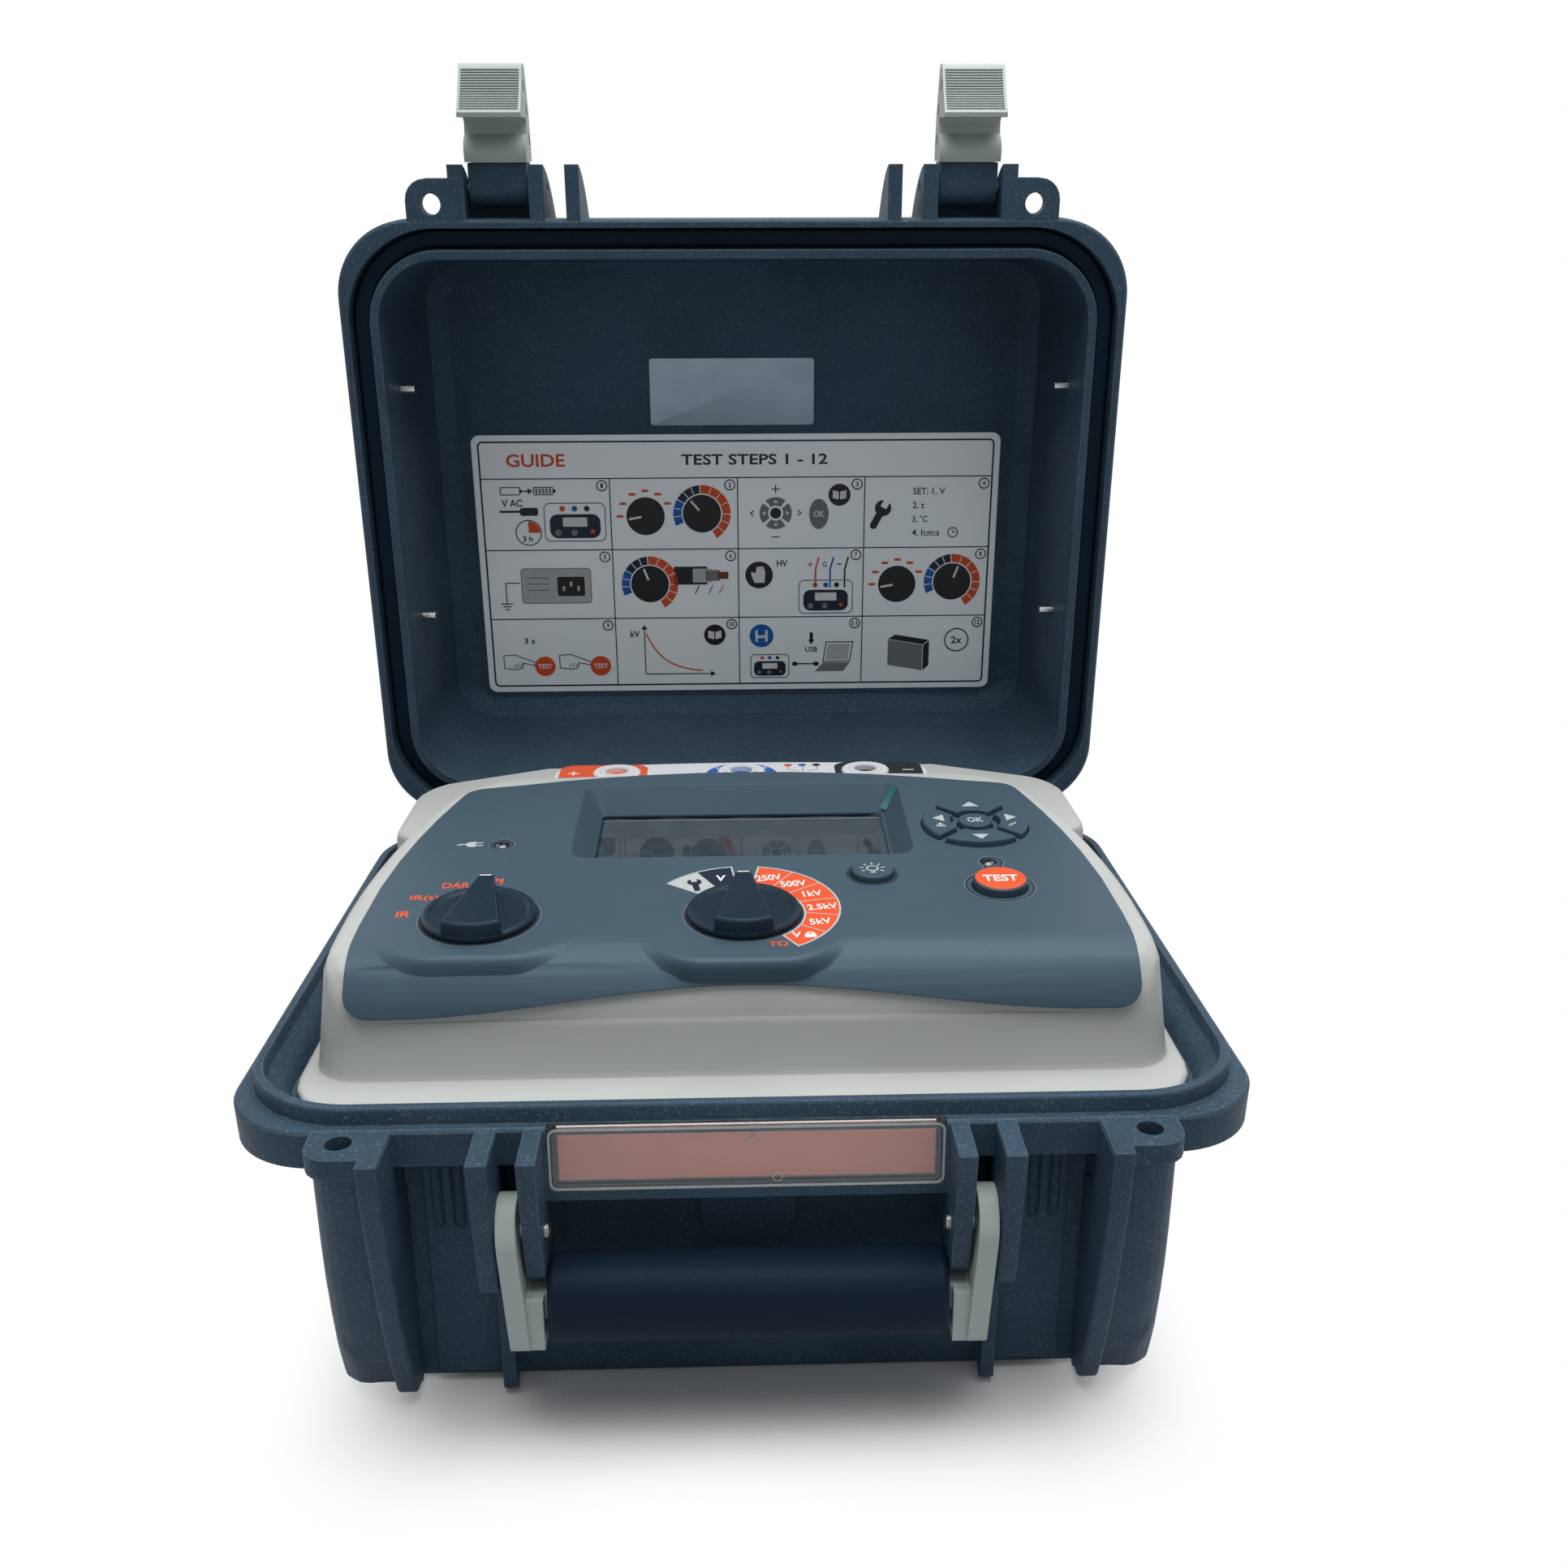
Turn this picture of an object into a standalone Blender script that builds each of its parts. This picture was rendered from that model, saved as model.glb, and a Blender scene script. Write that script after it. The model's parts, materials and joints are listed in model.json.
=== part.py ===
"""Insulation resistance tester in a hinged carrying case.

A moulded case base holds an instrument panel with a display, two rotary knobs, keys and three terminals.
The lid hinges at the back and carries two latches. A carrying handle swings between lugs at the front.
The origin is on the floor under the middle of the case, +X right, +Y to the hinge side, +Z up.
All sizes below are in millimetres, and the finished meshes are scaled to metres.
"""
import math

import bmesh
import bpy
from mathutils import Matrix, Vector
from mathutils.geometry import delaunay_2d_cdt

MM = 0.001
GAP = 0.3                       # assembly gap between pieces that touch
ROUND_STEPS = 20                # sides of a turned piece

# Case envelope
CASE_WIDTH = 315.0
CASE_DEPTH = 254.0              # over the rim, without fins and hinges
BASE_HEIGHT = 101.0             # floor to the parting ledge
LID_HEIGHT = 80.0               # parting ledge to the lid's top
EDGE_CORNER = 30.0              # plan corner of the rim's outer edge
CORNER_RADIUS = 40.0            # plan corner that the inner rings are drawn from
CORNER_STEPS = 5
LID_OPEN_ANGLE = 85.0
PARTING_GAP = 0.4

# Base tub and rim
WALL = 4.0
FLOOR = 4.0
FLOOR_ROUND = 4.5
TUB_SETBACK_X = 22.0            # rim edge to tub wall, at the sides
TUB_SETBACK_Y = 14.5            # rim edge to tub wall, front and back
TUB_CORNER = 26.0
TUB_DRAFT = 2.5
SKIRT_HEIGHT = 12.0
SKIRT_WALL = 3.2
LEDGE_WIDTH = 3.4
TONGUE_WIDTH = 3.4
TONGUE_HEIGHT = 5.5
RIM_WIDTH = 14.5                # rim edge to the panel opening
SHELF_DROP = 6.3                # ledge down to the shelf that carries the panel
RIM_WEB = 3.0

# Lid shell
LID_WALL = 4.5
LID_TOP = 4.0
LID_BAND = 12.0                 # height of the lid's rim band
LID_STEP = 10.5                 # rim edge to the lid's side wall
LID_DRAFT = 3.0
LID_TOP_ROUND = 11.0
GROOVE_WIDTH = 8.2
GROOVE_DEPTH = 10.0
LIP_WIDTH = 3.4
GASKET_HEIGHT = 3.6

# Fins, lugs, ears and latches
FIN_REACH = 19.4                # fin front beyond the rim edge
LUG_WALL = 6.0
LATCH_INSET = 65.3              # case side to the middle of a latch
LATCH_BAY = 24.9                # clear width between the latch lugs
LATCH_WIDTH = 24.0
LATCH_PIVOT_OUT = 11.0          # latch pivot beyond the rim edge
LATCH_PIVOT_UP = 13.0           # latch pivot above the parting ledge
LATCH_PIN_RADIUS = 1.8
LATCH_TAIL = 19.0               # hook lip to the latch's free end
LATCH_THICKNESS = 8.0           # half depth of the lever, from which its profile is drawn
LATCH_OPEN_ANGLE = 90.0
LATCH_LEAF = 9.4                # pivot to the joint of leaf and lever
PIN_CLEARANCE = 0.3
EAR_REACH = 15.0
EAR_LENGTH = 23.0
EAR_THICKNESS = 6.5
EAR_HOLE_RADIUS = 4.0
COLUMN_REACH = 13.5
COLUMN_SPREAD = 4.0             # how much wider the column is at its foot
EAR_HOLE_SIDE = 13.4            # latch lug to the middle of the padlock hole
EAR_HOLE_FRONT = 5.6            # rim edge to the middle of the padlock hole
FIN_ROOT = 20.0                 # ledge down to where a fin's root leaves the tub wall
WALL_TAB_RADIUS = 14.5
RIB_WIDTH = 4.2
RIB_REACH = 8.5
BAY_PAD_RISE = 1.4
BAY_PAD_SETBACK = 5.4           # outer latch lug to the pad's edge
FLUTE_RADIUS = 2.3
FLUTE_SPACING = 6.4
FLUTE_DROP = 43.0               # ledge down to the round end of a flute
LUG_DROP = 47.5                 # handle lug height below the ledge
LID_LUG_RISE = 42.0
LID_OUTER_RISE = 32.0

# Handle
ARM_SLOT = 8.2                  # clear width between a pair of handle lugs
HANDLE_LUG_WALL = 5.5
HANDLE_PIVOT_OUT = 5.0          # handle pivot beyond the rim edge
HANDLE_PIVOT_DROP = 31.0        # handle pivot below the ledge
HANDLE_PIN_RADIUS = 2.5
ARM_RADIUS = 11.5
ARM_LEAN = 2.0                  # how far an arm draws in towards its foot
ARM_LENGTH = 36.5               # pivot to the arm's foot
GRIP_DROP = 23.0                # pivot to the middle of the grip
GRIP_HEIGHT = 25.0
GRIP_DEPTH = 22.0
CORE_SIZE = 9.0

# Name plate pocket
PLATE_HEIGHT = 21.0
PLATE_THICKNESS = 2.8
PLATE_FRAME = 2.6
PLATE_LIP = 3.4
INSERT_THICKNESS = 0.9

# Hinges
HINGE_X = 75.0
HINGE_OUT = 7.9                 # hinge axis behind the rim edge
HINGE_DROP = 1.75               # hinge axis below the parting ledge
KNUCKLE_RADIUS = 6.0
LID_KNUCKLE = 24.0
BASE_KNUCKLE = 9.0
HINGE_PIN_RADIUS = 2.2
STOP_REACH = 12.0
HINGE_ARM_DROP = 40.0           # ledge down to the foot of a hinge arm

# Panel housing
PANEL_CLEARANCE = 1.5
FLANGE_THICKNESS = 3.0
PANEL_WALL = 2.5
CONSOLE_SIDE_SETBACK = 23.8     # case side to the console's widest part
CONSOLE_SETBACK = 67.0          # rim front edge to the console frame's origin
CONSOLE_RISE = 37.0             # ledge to the fascia plane at that origin
CONSOLE_TILT = 4.0
CONSOLE_DRAFT = 4.0
RIDGE_SETBACK = 50.0            # rim rear edge to the console's rear ridge
SIDE_SWEEP = 17.0
REAR_CORNER = 27.0
EDGE_ROUND = 5.0
FRONT_CORNER = 14.0
ROLL_START = -10.0              # where the console top starts to roll down
ROLL_RADIUS = 22.0
DECK_SIDE_SETBACK = 20.5
DECK_FRONT_SETBACK = 89.0
DECK_REAR_SETBACK = 20.0
DECK_EDGE_RISE = 30.0
DECK_TOP_RISE = 38.0
DECK_CORNER = 15.0

# Fascia and what is set in it
FASCIA_THICKNESS = 1.0
BAND_WIDTH = 8.4                # light band between fascia and console edge
FASCIA_LOW_MIDDLE = 20.4        # run of the fascia down the roll, in the middle
FASCIA_LOW_SIDE = 29.8          # the same at its sides
COLUMN_SETBACK = 46.7           # console side to the column of keys, and to the mode knob
KNOB_ROW = 4.0
KNOB_RADIUS = 18.8
KNOB_DISC = 2.8
KNOB_HEIGHT = 7.2
POINTER_HALF = 9.3              # half width of the knob's pointer at its front
POINTER_TIP = 2.7
SPINDLE_RADIUS = 3.0
BOSS_RUN = 5.6
WELL_SIDE_SETBACK = 71.7        # console side to the display well
WELL_FRONT_SHARE = 0.3604       # rows below are shares of the run from the console origin to the ridge
WELL_REAR_SETBACK = 20.0        # ridge to the rear edge of the display well
WELL_CORNER = 7.0
WELL_SLOPE = 7.0
WELL_DEPTH = 10.0
WINDOW_THICKNESS = 1.2
NAV_SHARE = 0.5382
NAV_RADIUS = 19.8
NAV_INNER = 9.4
NAV_WEB = 1.5
OK_RADIUS = 6.4
KEY_HEIGHT = 2.3
KEY_TRAVEL = 1.2
KEY_CLEARANCE = 0.4
KEY_STEM = 6.5
BACKLIGHT_SPACING = 42.0        # column of keys to the backlight key
BACKLIGHT_SHARE = 0.2403
BACKLIGHT_RADIUS = 7.3
TEST_OFFSET = 1.0
TEST_SHARE = 0.1602
TEST_RADIUS = 9.3
LED_RADIUS = 2.6
TEST_LED_SHARE = 0.3022
POWER_LED_OFFSET = 0.6
POWER_LED_SHARE = 0.4515

# Terminals
TERMINAL_SPACING = 52.0
TERMINAL_SETBACK = 39.0         # rim rear edge to the terminal row
TERMINAL_BODY_RADIUS = 8.4
COLLAR_RADIUS = 10.0
COLLAR_HEIGHT = 1.8
SOCKET_RADIUS = 4.6
SOCKET_DEPTH = 18.0
TERMINAL_LENGTH = 24.0
CONTACT_RADIUS = 2.0
CONTACT_LENGTH = 10.0
TERMINAL_PLATE_HALF = 78.0
TERMINAL_PLATE_THICKNESS = 1.2
TERMINAL_PLATE_DEPTH = 26.0

# Inside
BOARD_DEPTH = 19.0              # fascia plane down to the main board
BOARD_THICKNESS = 1.6
BOARD_CLEARANCE = 3.5           # mains inlet to the main board's edge
POST_INSET = 5.0                # board edge to the posts that carry it
SWITCH_SIZE = 23.0
KEYPAD_DEPTH = 9.5
BOSS_RADIUS = 3.5
INLET_ROW = 40.0
INLET_LENGTH = 28.0
INLET_HEIGHT = 20.0
INLET_RISE = 17.0
INLET_BODY = 20.0
MODULE_MARGIN = 8.0             # tub wall to the modules
MODULE_GAP = 19.0               # between the battery pack and the power supply
BATTERY_SHARE = 0.55            # battery's share of the width that the two modules have
FRONT_MODULE_SHARE = 0.385      # depth of the front modules, of the depth inside the tub
REAR_MODULE_SHARE = 0.375
HV_WIDTH_SHARE = 0.48
BATTERY_HEIGHT = 46.0
HV_HEIGHT = 54.0
SUPPLY_HEIGHT = 40.0

# Lid side screws
LID_SCREW_RADIUS = 1.9
LID_SCREW_HEAD = 3.8
LID_SCREW_TIP = 4.0
LID_SCREW_RISE = 26.0
LID_SCREW_FRONT = -58.5
LID_SCREW_REAR = 40.5

# Derived places
HALF_W = CASE_WIDTH / 2
HALF_D = CASE_DEPTH / 2
PART_Z = BASE_HEIGHT
LID_Z = PART_Z + PARTING_GAP
HINGE_AXIS = Vector((0.0, HALF_D + HINGE_OUT, PART_Z - HINGE_DROP))
LATCH_X = HALF_W - LATCH_INSET
LUG_OUT_X = LATCH_X + LATCH_BAY / 2
LUG_IN_X = LATCH_X - LATCH_BAY / 2 - LUG_WALL
HANDLE_LUG_X = LUG_IN_X - ARM_SLOT - HANDLE_LUG_WALL
LATCH_PIVOT = Vector((LATCH_X, -HALF_D - LATCH_PIVOT_OUT, PART_Z + LATCH_PIVOT_UP))
HANDLE_PIVOT = Vector((0.0, -HALF_D - HANDLE_PIVOT_OUT, PART_Z - HANDLE_PIVOT_DROP))
EAR_HOLE_X = LUG_OUT_X + EAR_HOLE_SIDE
EAR_HOLE_Y = -HALF_D - EAR_HOLE_FRONT
TUB_TOP = PART_Z - SHELF_DROP - RIM_WEB
CONSOLE_ORIGIN = Vector((0.0, -HALF_D + CONSOLE_SETBACK, PART_Z + CONSOLE_RISE))
TILT = math.radians(CONSOLE_TILT)
CONSOLE_HALF = HALF_W - CONSOLE_SIDE_SETBACK
RIDGE_ROW = (CASE_DEPTH - CONSOLE_SETBACK - RIDGE_SETBACK) / math.cos(TILT)
WELL_FRONT = WELL_FRONT_SHARE * RIDGE_ROW
WELL_REAR = RIDGE_ROW - WELL_REAR_SETBACK
WELL_HALF_WIDTH = CONSOLE_HALF - WELL_SIDE_SETBACK
KNOB_SPACING = CONSOLE_HALF - COLUMN_SETBACK
NAV_X = CONSOLE_HALF - COLUMN_SETBACK
NAV_ROW = NAV_SHARE * RIDGE_ROW
BACKLIGHT_X = NAV_X - BACKLIGHT_SPACING
BACKLIGHT_ROW = BACKLIGHT_SHARE * RIDGE_ROW
TEST_X = NAV_X + TEST_OFFSET
TEST_ROW = TEST_SHARE * RIDGE_ROW
TEST_LED_ROW = TEST_LED_SHARE * RIDGE_ROW
POWER_LED_X = -KNOB_SPACING - POWER_LED_OFFSET
POWER_LED_ROW = POWER_LED_SHARE * RIDGE_ROW
INLET_FACE = CONSOLE_HALF - SIDE_SWEEP * (INLET_ROW / (RIDGE_ROW - REAR_CORNER)) ** 2
BOARD_HALF_WIDTH = INLET_FACE - INLET_BODY - BOARD_CLEARANCE
SKIN_DROP = FASCIA_THICKNESS + GAP
DECK_Z = PART_Z + DECK_TOP_RISE
TERMINAL_Y = HALF_D - TERMINAL_SETBACK
TERMINAL_PLATE_Z = DECK_Z + GAP
BOARD_FRONT = ROLL_START + 6.0
BOARD_REAR = RIDGE_ROW - 26.0


def clear_scene():
    for item in list(bpy.data.objects):
        bpy.data.objects.remove(item, do_unlink=True)


def material(name, colour, roughness, metallic=0.0):
    made = bpy.data.materials.new(name)
    made.use_nodes = True
    shader = made.node_tree.nodes["Principled BSDF"]
    shader.inputs["Base Color"].default_value = (*colour, 1.0)
    shader.inputs["Roughness"].default_value = roughness
    shader.inputs["Metallic"].default_value = metallic
    made.diffuse_color = (*colour, 1.0)
    return made


def frame_empty(name, origin, tilt=0.0, parent=None):
    empty = bpy.data.objects.new(name, None)
    bpy.context.scene.collection.objects.link(empty)
    empty.location = Vector(origin) * MM
    empty.rotation_euler = (tilt, 0.0, 0.0)
    empty.parent = parent
    return empty


def make(name, solid, finish, origin=(0.0, 0.0, 0.0), parent=None, place=None, turn=0.0):
    """Make one named object from a solid in millimetres, with its origin at the given point."""
    origin = Vector(origin)
    place = origin if place is None else Vector(place)
    bmesh.ops.translate(solid, verts=solid.verts, vec=-origin)
    bmesh.ops.scale(solid, verts=solid.verts, vec=(MM, MM, MM))
    mesh = bpy.data.meshes.new(name)
    solid.to_mesh(mesh)
    solid.free()
    mesh.materials.append(finish)
    mesh.shade_smooth()
    mesh.set_sharp_from_angle(angle=math.radians(32.0))
    made = bpy.data.objects.new(name, mesh)
    bpy.context.scene.collection.objects.link(made)
    made.location = place * MM
    made.rotation_euler = (turn, 0.0, 0.0)
    made.parent = parent
    return made


# Outlines

def fillet(corners, steps=CORNER_STEPS):
    """Turn (x, y, radius) corners into points, with an arc wherever the radius is not zero."""
    points = []
    for i, (x, y, radius) in enumerate(corners):
        here = Vector((x, y))
        if radius <= 0.0:
            points.append(here)
            continue
        before = Vector(corners[i - 1][:2]) - here
        after = Vector(corners[(i + 1) % len(corners)][:2]) - here
        half = before.angle(after) / 2
        run = min(radius / math.tan(half), 0.48 * before.length, 0.48 * after.length)
        radius = run * math.tan(half)
        start = here + before.normalized() * run
        end = here + after.normalized() * run
        centre = here + (before.normalized() + after.normalized()).normalized() * radius / math.sin(half)
        sweep = (start - centre).angle_signed(end - centre)
        for k in range(steps + 1):
            spin = Matrix.Rotation(-sweep * k / steps, 2)
            points.append(centre + spin @ (start - centre))
    return [(p.x, p.y) for p in points]


def rounded_rect(x0, x1, y0, y1, radius, steps=CORNER_STEPS):
    return fillet([(x0, y0, radius), (x1, y0, radius), (x1, y1, radius), (x0, y1, radius)], steps)


def circle(x, y, radius, steps=ROUND_STEPS):
    return [(x + radius * math.cos(math.tau * k / steps), y + radius * math.sin(math.tau * k / steps))
            for k in range(steps)]


def arc(centre, radius, start, end, steps=8):
    """Points of an arc in degrees, in the plane of the two coordinates of its centre."""
    angles = [math.radians(start + (end - start) * k / steps) for k in range(steps + 1)]
    return [(centre[0] + radius * math.cos(a), centre[1] + radius * math.sin(a)) for a in angles]


def mirrored(right_half):
    """Close an outline from its right half, which runs from the front middle to the rear middle."""
    left_half = [(-x, y) for x, y in reversed(right_half) if x > 0.0]
    return right_half + left_half


def inside(point, loop):
    x, y = point
    hit = False
    for (ax, ay), (bx, by) in zip(loop, loop[1:] + loop[:1]):
        if (ay > y) != (by > y) and x < ax + (y - ay) * (bx - ax) / (by - ay):
            hit = not hit
    return hit


def distance_to_path(point, path):
    here = Vector(point)
    best = 1e9
    for a, b in zip(path, path[1:]):
        start = Vector(a)
        along = Vector(b) - start
        share = min(max((here - start).dot(along) / along.length_squared, 0.0), 1.0)
        best = min(best, (here - start - along * share).length)
    return best


def rect_distance(point, x0, x1, y0, y1, radius):
    """Signed distance to a rounded rectangle, negative inside."""
    qx = abs(point[0] - (x0 + x1) / 2) - ((x1 - x0) / 2 - radius)
    qy = abs(point[1] - (y0 + y1) / 2) - ((y1 - y0) / 2 - radius)
    return math.hypot(max(qx, 0.0), max(qy, 0.0)) + min(max(qx, qy), 0.0) - radius


def inset_path(path, amount):
    """Shift an open path to its left by the given amount."""
    points = []
    for i, here in enumerate(path):
        before = Vector(path[max(i - 1, 0)])
        after = Vector(path[min(i + 1, len(path) - 1)])
        along = (after - before).normalized()
        points.append((here[0] - along.y * amount, here[1] + along.x * amount))
    return points


# Solids

def loft(loops):
    """A closed solid through a stack of loops of equal point counts, capped at both ends."""
    solid = bmesh.new()
    rows = [[solid.verts.new(point) for point in loop] for loop in loops]
    for low, high in zip(rows, rows[1:]):
        for i in range(len(low)):
            j = (i + 1) % len(low)
            solid.faces.new((low[i], low[j], high[j], high[i]))
    solid.faces.new(reversed(rows[0]))
    solid.faces.new(rows[-1])
    bmesh.ops.recalc_face_normals(solid, faces=solid.faces)
    return solid


def prism_x(profile, x0, x1):
    return loft([[(x, y, z) for y, z in profile] for x in (x0, x1)])


def prism_y(profile, y0, y1):
    return loft([[(x, y, z) for x, z in profile] for y in (y0, y1)])


def prism_z(outline, z0, z1):
    return loft([[(x, y, z) for x, y in outline] for z in (z0, z1)])


def box(x0, x1, y0, y1, z0, z1):
    return prism_z([(x0, y0), (x1, y0), (x1, y1), (x0, y1)], z0, z1)


def rod_x(x0, x1, y, z, radius, steps=ROUND_STEPS):
    return prism_x(circle(y, z, radius, steps), x0, x1)


def turned(x, y, profile, steps=ROUND_STEPS):
    """A solid of revolution about a vertical axis: the profile runs as (radius, z) pairs."""
    return loft([[(px, py, z) for px, py in circle(x, y, radius, steps)] for radius, z in profile])


def slab(outline, top, bottom, holes=(), lines=()):
    """A sheet over a flat outline: two functions place each outline point on its top and bottom."""
    points, edges = [], []
    for path, closed in [(outline, True)] + [(h, True) for h in holes] + [(p, False) for p in lines]:
        first = len(points)
        points.extend(Vector(p) for p in path)
        edges.extend((first + i, first + i + 1) for i in range(len(path) - 1))
        if closed:
            edges.append((first + len(path) - 1, first))
    flat, _, faces, *_ = delaunay_2d_cdt(points, edges, [], 0, 1e-5)
    kept = []
    for face in faces:
        middle = sum((flat[i] for i in face), Vector((0.0, 0.0))) / len(face)
        if inside(middle, outline) and not any(inside(middle, hole) for hole in holes):
            kept.append(face)
    solid = bmesh.new()
    used = sorted({i for face in kept for i in face})
    upper = {i: solid.verts.new(top(*flat[i])) for i in used}
    lower = {i: solid.verts.new(bottom(*flat[i])) for i in used}
    border = {}
    for face in kept:
        solid.faces.new([upper[i] for i in face])
        solid.faces.new([lower[i] for i in reversed(face)])
        for a, b in zip(face, list(face[1:]) + [face[0]]):
            border[(a, b)] = (b, a) not in border
            if (b, a) in border:
                border[(b, a)] = False
    for (a, b), outer in border.items():
        if outer:
            solid.faces.new((upper[b], upper[a], lower[a], lower[b]))
    bmesh.ops.recalc_face_normals(solid, faces=solid.faces)
    return solid


def combine(target, tool, operation):
    """Boolean of two solids. Both are used up."""
    pair = []
    for solid in (target, tool):
        mesh = bpy.data.meshes.new("operand")
        solid.to_mesh(mesh)
        solid.free()
        item = bpy.data.objects.new("operand", mesh)
        bpy.context.scene.collection.objects.link(item)
        pair.append(item)
    cut = pair[0].modifiers.new("cut", "BOOLEAN")
    cut.operation = operation
    cut.object = pair[1]
    cut.solver = "EXACT"
    graph = bpy.context.evaluated_depsgraph_get()
    result = bmesh.new()
    result.from_mesh(pair[0].evaluated_get(graph).to_mesh())
    for item in pair:
        mesh = item.data
        bpy.data.objects.remove(item, do_unlink=True)
        bpy.data.meshes.remove(mesh)
    bmesh.ops.remove_doubles(result, verts=result.verts, dist=0.0005)
    bmesh.ops.dissolve_limit(result, angle_limit=math.radians(0.3), verts=result.verts, edges=result.edges)
    return result


def fuse(target, *tools):
    for tool in tools:
        target = combine(target, tool, "UNION")
    return target


def cut_out(target, *tools):
    for tool in tools:
        target = combine(target, tool, "DIFFERENCE")
    return target


def moved(solid, matrix):
    bmesh.ops.transform(solid, matrix=matrix, verts=solid.verts)
    return solid


# Case base

def rim_loop(inset, z, corner=CORNER_RADIUS):
    return [(x, y, z) for x, y in rounded_rect(-HALF_W + inset, HALF_W - inset, -HALF_D + inset,
                                               HALF_D - inset, corner - inset)]


def edge_loop(inset, z):
    """A loop of the rim's outer edge, whose corners are fuller than those of the rings inside it."""
    return rim_loop(inset, z, EDGE_CORNER)


def tub_half(extra):
    return HALF_W - TUB_SETBACK_X - extra, HALF_D - TUB_SETBACK_Y - extra


def tub_loop(extra, z):
    half_x, half_y = tub_half(extra)
    radius = max(TUB_CORNER - extra, 4.0)
    return [(x, y, z) for x, y in rounded_rect(-half_x, half_x, -half_y, half_y, radius)]


def tub_front(x, z):
    """The tub's outer front wall at a place across and a height."""
    share = min(max((z - FLOOR_ROUND) / (TUB_TOP - FLOOR_ROUND), 0.0), 1.0)
    extra = TUB_DRAFT * (1.0 - share)
    half_x, half_y = tub_half(extra)
    radius = TUB_CORNER - extra
    beyond = max(abs(x) - (half_x - radius), 0.0)
    return -(half_y - radius) - math.sqrt(max(radius ** 2 - beyond ** 2, 0.0))


def bow(depth, height):
    """Share of a fin's reach that is left at a depth from the parting plane."""
    share = depth / height
    return 1.0 - 0.5 * share - 0.45 * share ** 3


def fin_front(depth, reach=FIN_REACH):
    return -HALF_D + TUB_SETBACK_Y - (reach + TUB_SETBACK_Y) * bow(depth, PART_Z - 2.0)


def base_shell():
    ledge = LEDGE_WIDTH
    tongue_top = PART_Z + TONGUE_HEIGHT
    shelf = PART_Z - SHELF_DROP
    return loft([
        tub_loop(TUB_DRAFT + FLOOR_ROUND, 0.0),
        tub_loop(TUB_DRAFT + 0.3 * FLOOR_ROUND, 0.3 * FLOOR_ROUND),
        tub_loop(TUB_DRAFT, FLOOR_ROUND),
        tub_loop(0.0, TUB_TOP),
        rim_loop(RIM_WIDTH - 2.0, TUB_TOP),
        edge_loop(SKIRT_WALL, PART_Z - 4.0),
        edge_loop(SKIRT_WALL - 0.3, PART_Z - SKIRT_HEIGHT),
        edge_loop(0.4, PART_Z - SKIRT_HEIGHT),
        edge_loop(0.0, PART_Z - 1.0),
        edge_loop(1.0, PART_Z),
        rim_loop(ledge, PART_Z),
        rim_loop(ledge + 0.4, tongue_top - 0.8),
        rim_loop(ledge + 1.0, tongue_top),
        rim_loop(ledge + TONGUE_WIDTH, tongue_top),
        rim_loop(ledge + TONGUE_WIDTH + 1.0, PART_Z + 1.5),
        rim_loop(RIM_WIDTH - 2.5, PART_Z - 2.0),
        rim_loop(RIM_WIDTH, shelf),
        tub_loop(WALL, shelf),
        tub_loop(WALL + TUB_DRAFT, FLOOR + FLOOR_ROUND),
        tub_loop(WALL + TUB_DRAFT + 0.7 * FLOOR_ROUND, FLOOR),
    ])


def front_fin(x0, x1, drop, foot):
    """A fin of the front wall: its outer edge bows back, and a short one ends in a round foot."""
    top = PART_Z - 0.2
    middle = (x0 + x1) / 2
    profile = [(-HALF_D + 2.0, top)]
    profile += [(fin_front(drop * k / 7), top - drop * k / 7) for k in range(8)]
    low = top - drop
    profile += [(fin_front(drop) + foot, low - foot)]
    profile += [(tub_front(middle, low) + WALL / 2, max(low - foot, FLOOR_ROUND))]
    root = PART_Z - FIN_ROOT
    profile += [(tub_front(middle, root) + WALL / 2, root)]
    return prism_x(profile, x0, x1)


def corner_column(side):
    """The rounded column under a padlock ear, which tapers back to the tub wall."""
    inner = LUG_OUT_X + 1.5
    loops = []
    levels = 7
    for k in range(levels):
        z = PART_Z - EAR_THICKNESS + 0.5 - (PART_Z - EAR_THICKNESS - 4.0) * k / (levels - 1)
        outer = LUG_OUT_X + EAR_LENGTH - 1.2 + COLUMN_SPREAD * k / (levels - 1)
        front = fin_front(PART_Z - z, COLUMN_REACH) - 1.0
        outline = fillet([(inner, front, 0.0), (outer, front, 10.0),
                          (outer, tub_front(outer, z) + WALL / 2, 0.0),
                          (inner, tub_front(inner, z) + WALL / 2, 0.0)])
        loops.append([(side * x, y, z) for x, y in outline])
    return loft(loops)


def ear(side, low, high):
    outline = fillet([(LUG_OUT_X + 1.0, -HALF_D - EAR_REACH, 0.0),
                      (LUG_OUT_X + EAR_LENGTH, -HALF_D - EAR_REACH, 11.0),
                      (LUG_OUT_X + EAR_LENGTH, -HALF_D + 2.0, 0.0),
                      (LUG_OUT_X + 1.0, -HALF_D + 2.0, 0.0)])
    return prism_z([(side * x, y) for x, y in outline], low, high)


def ear_hole(side, low, high):
    return prism_z(circle(side * EAR_HOLE_X, EAR_HOLE_Y, EAR_HOLE_RADIUS), low, high)


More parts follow.
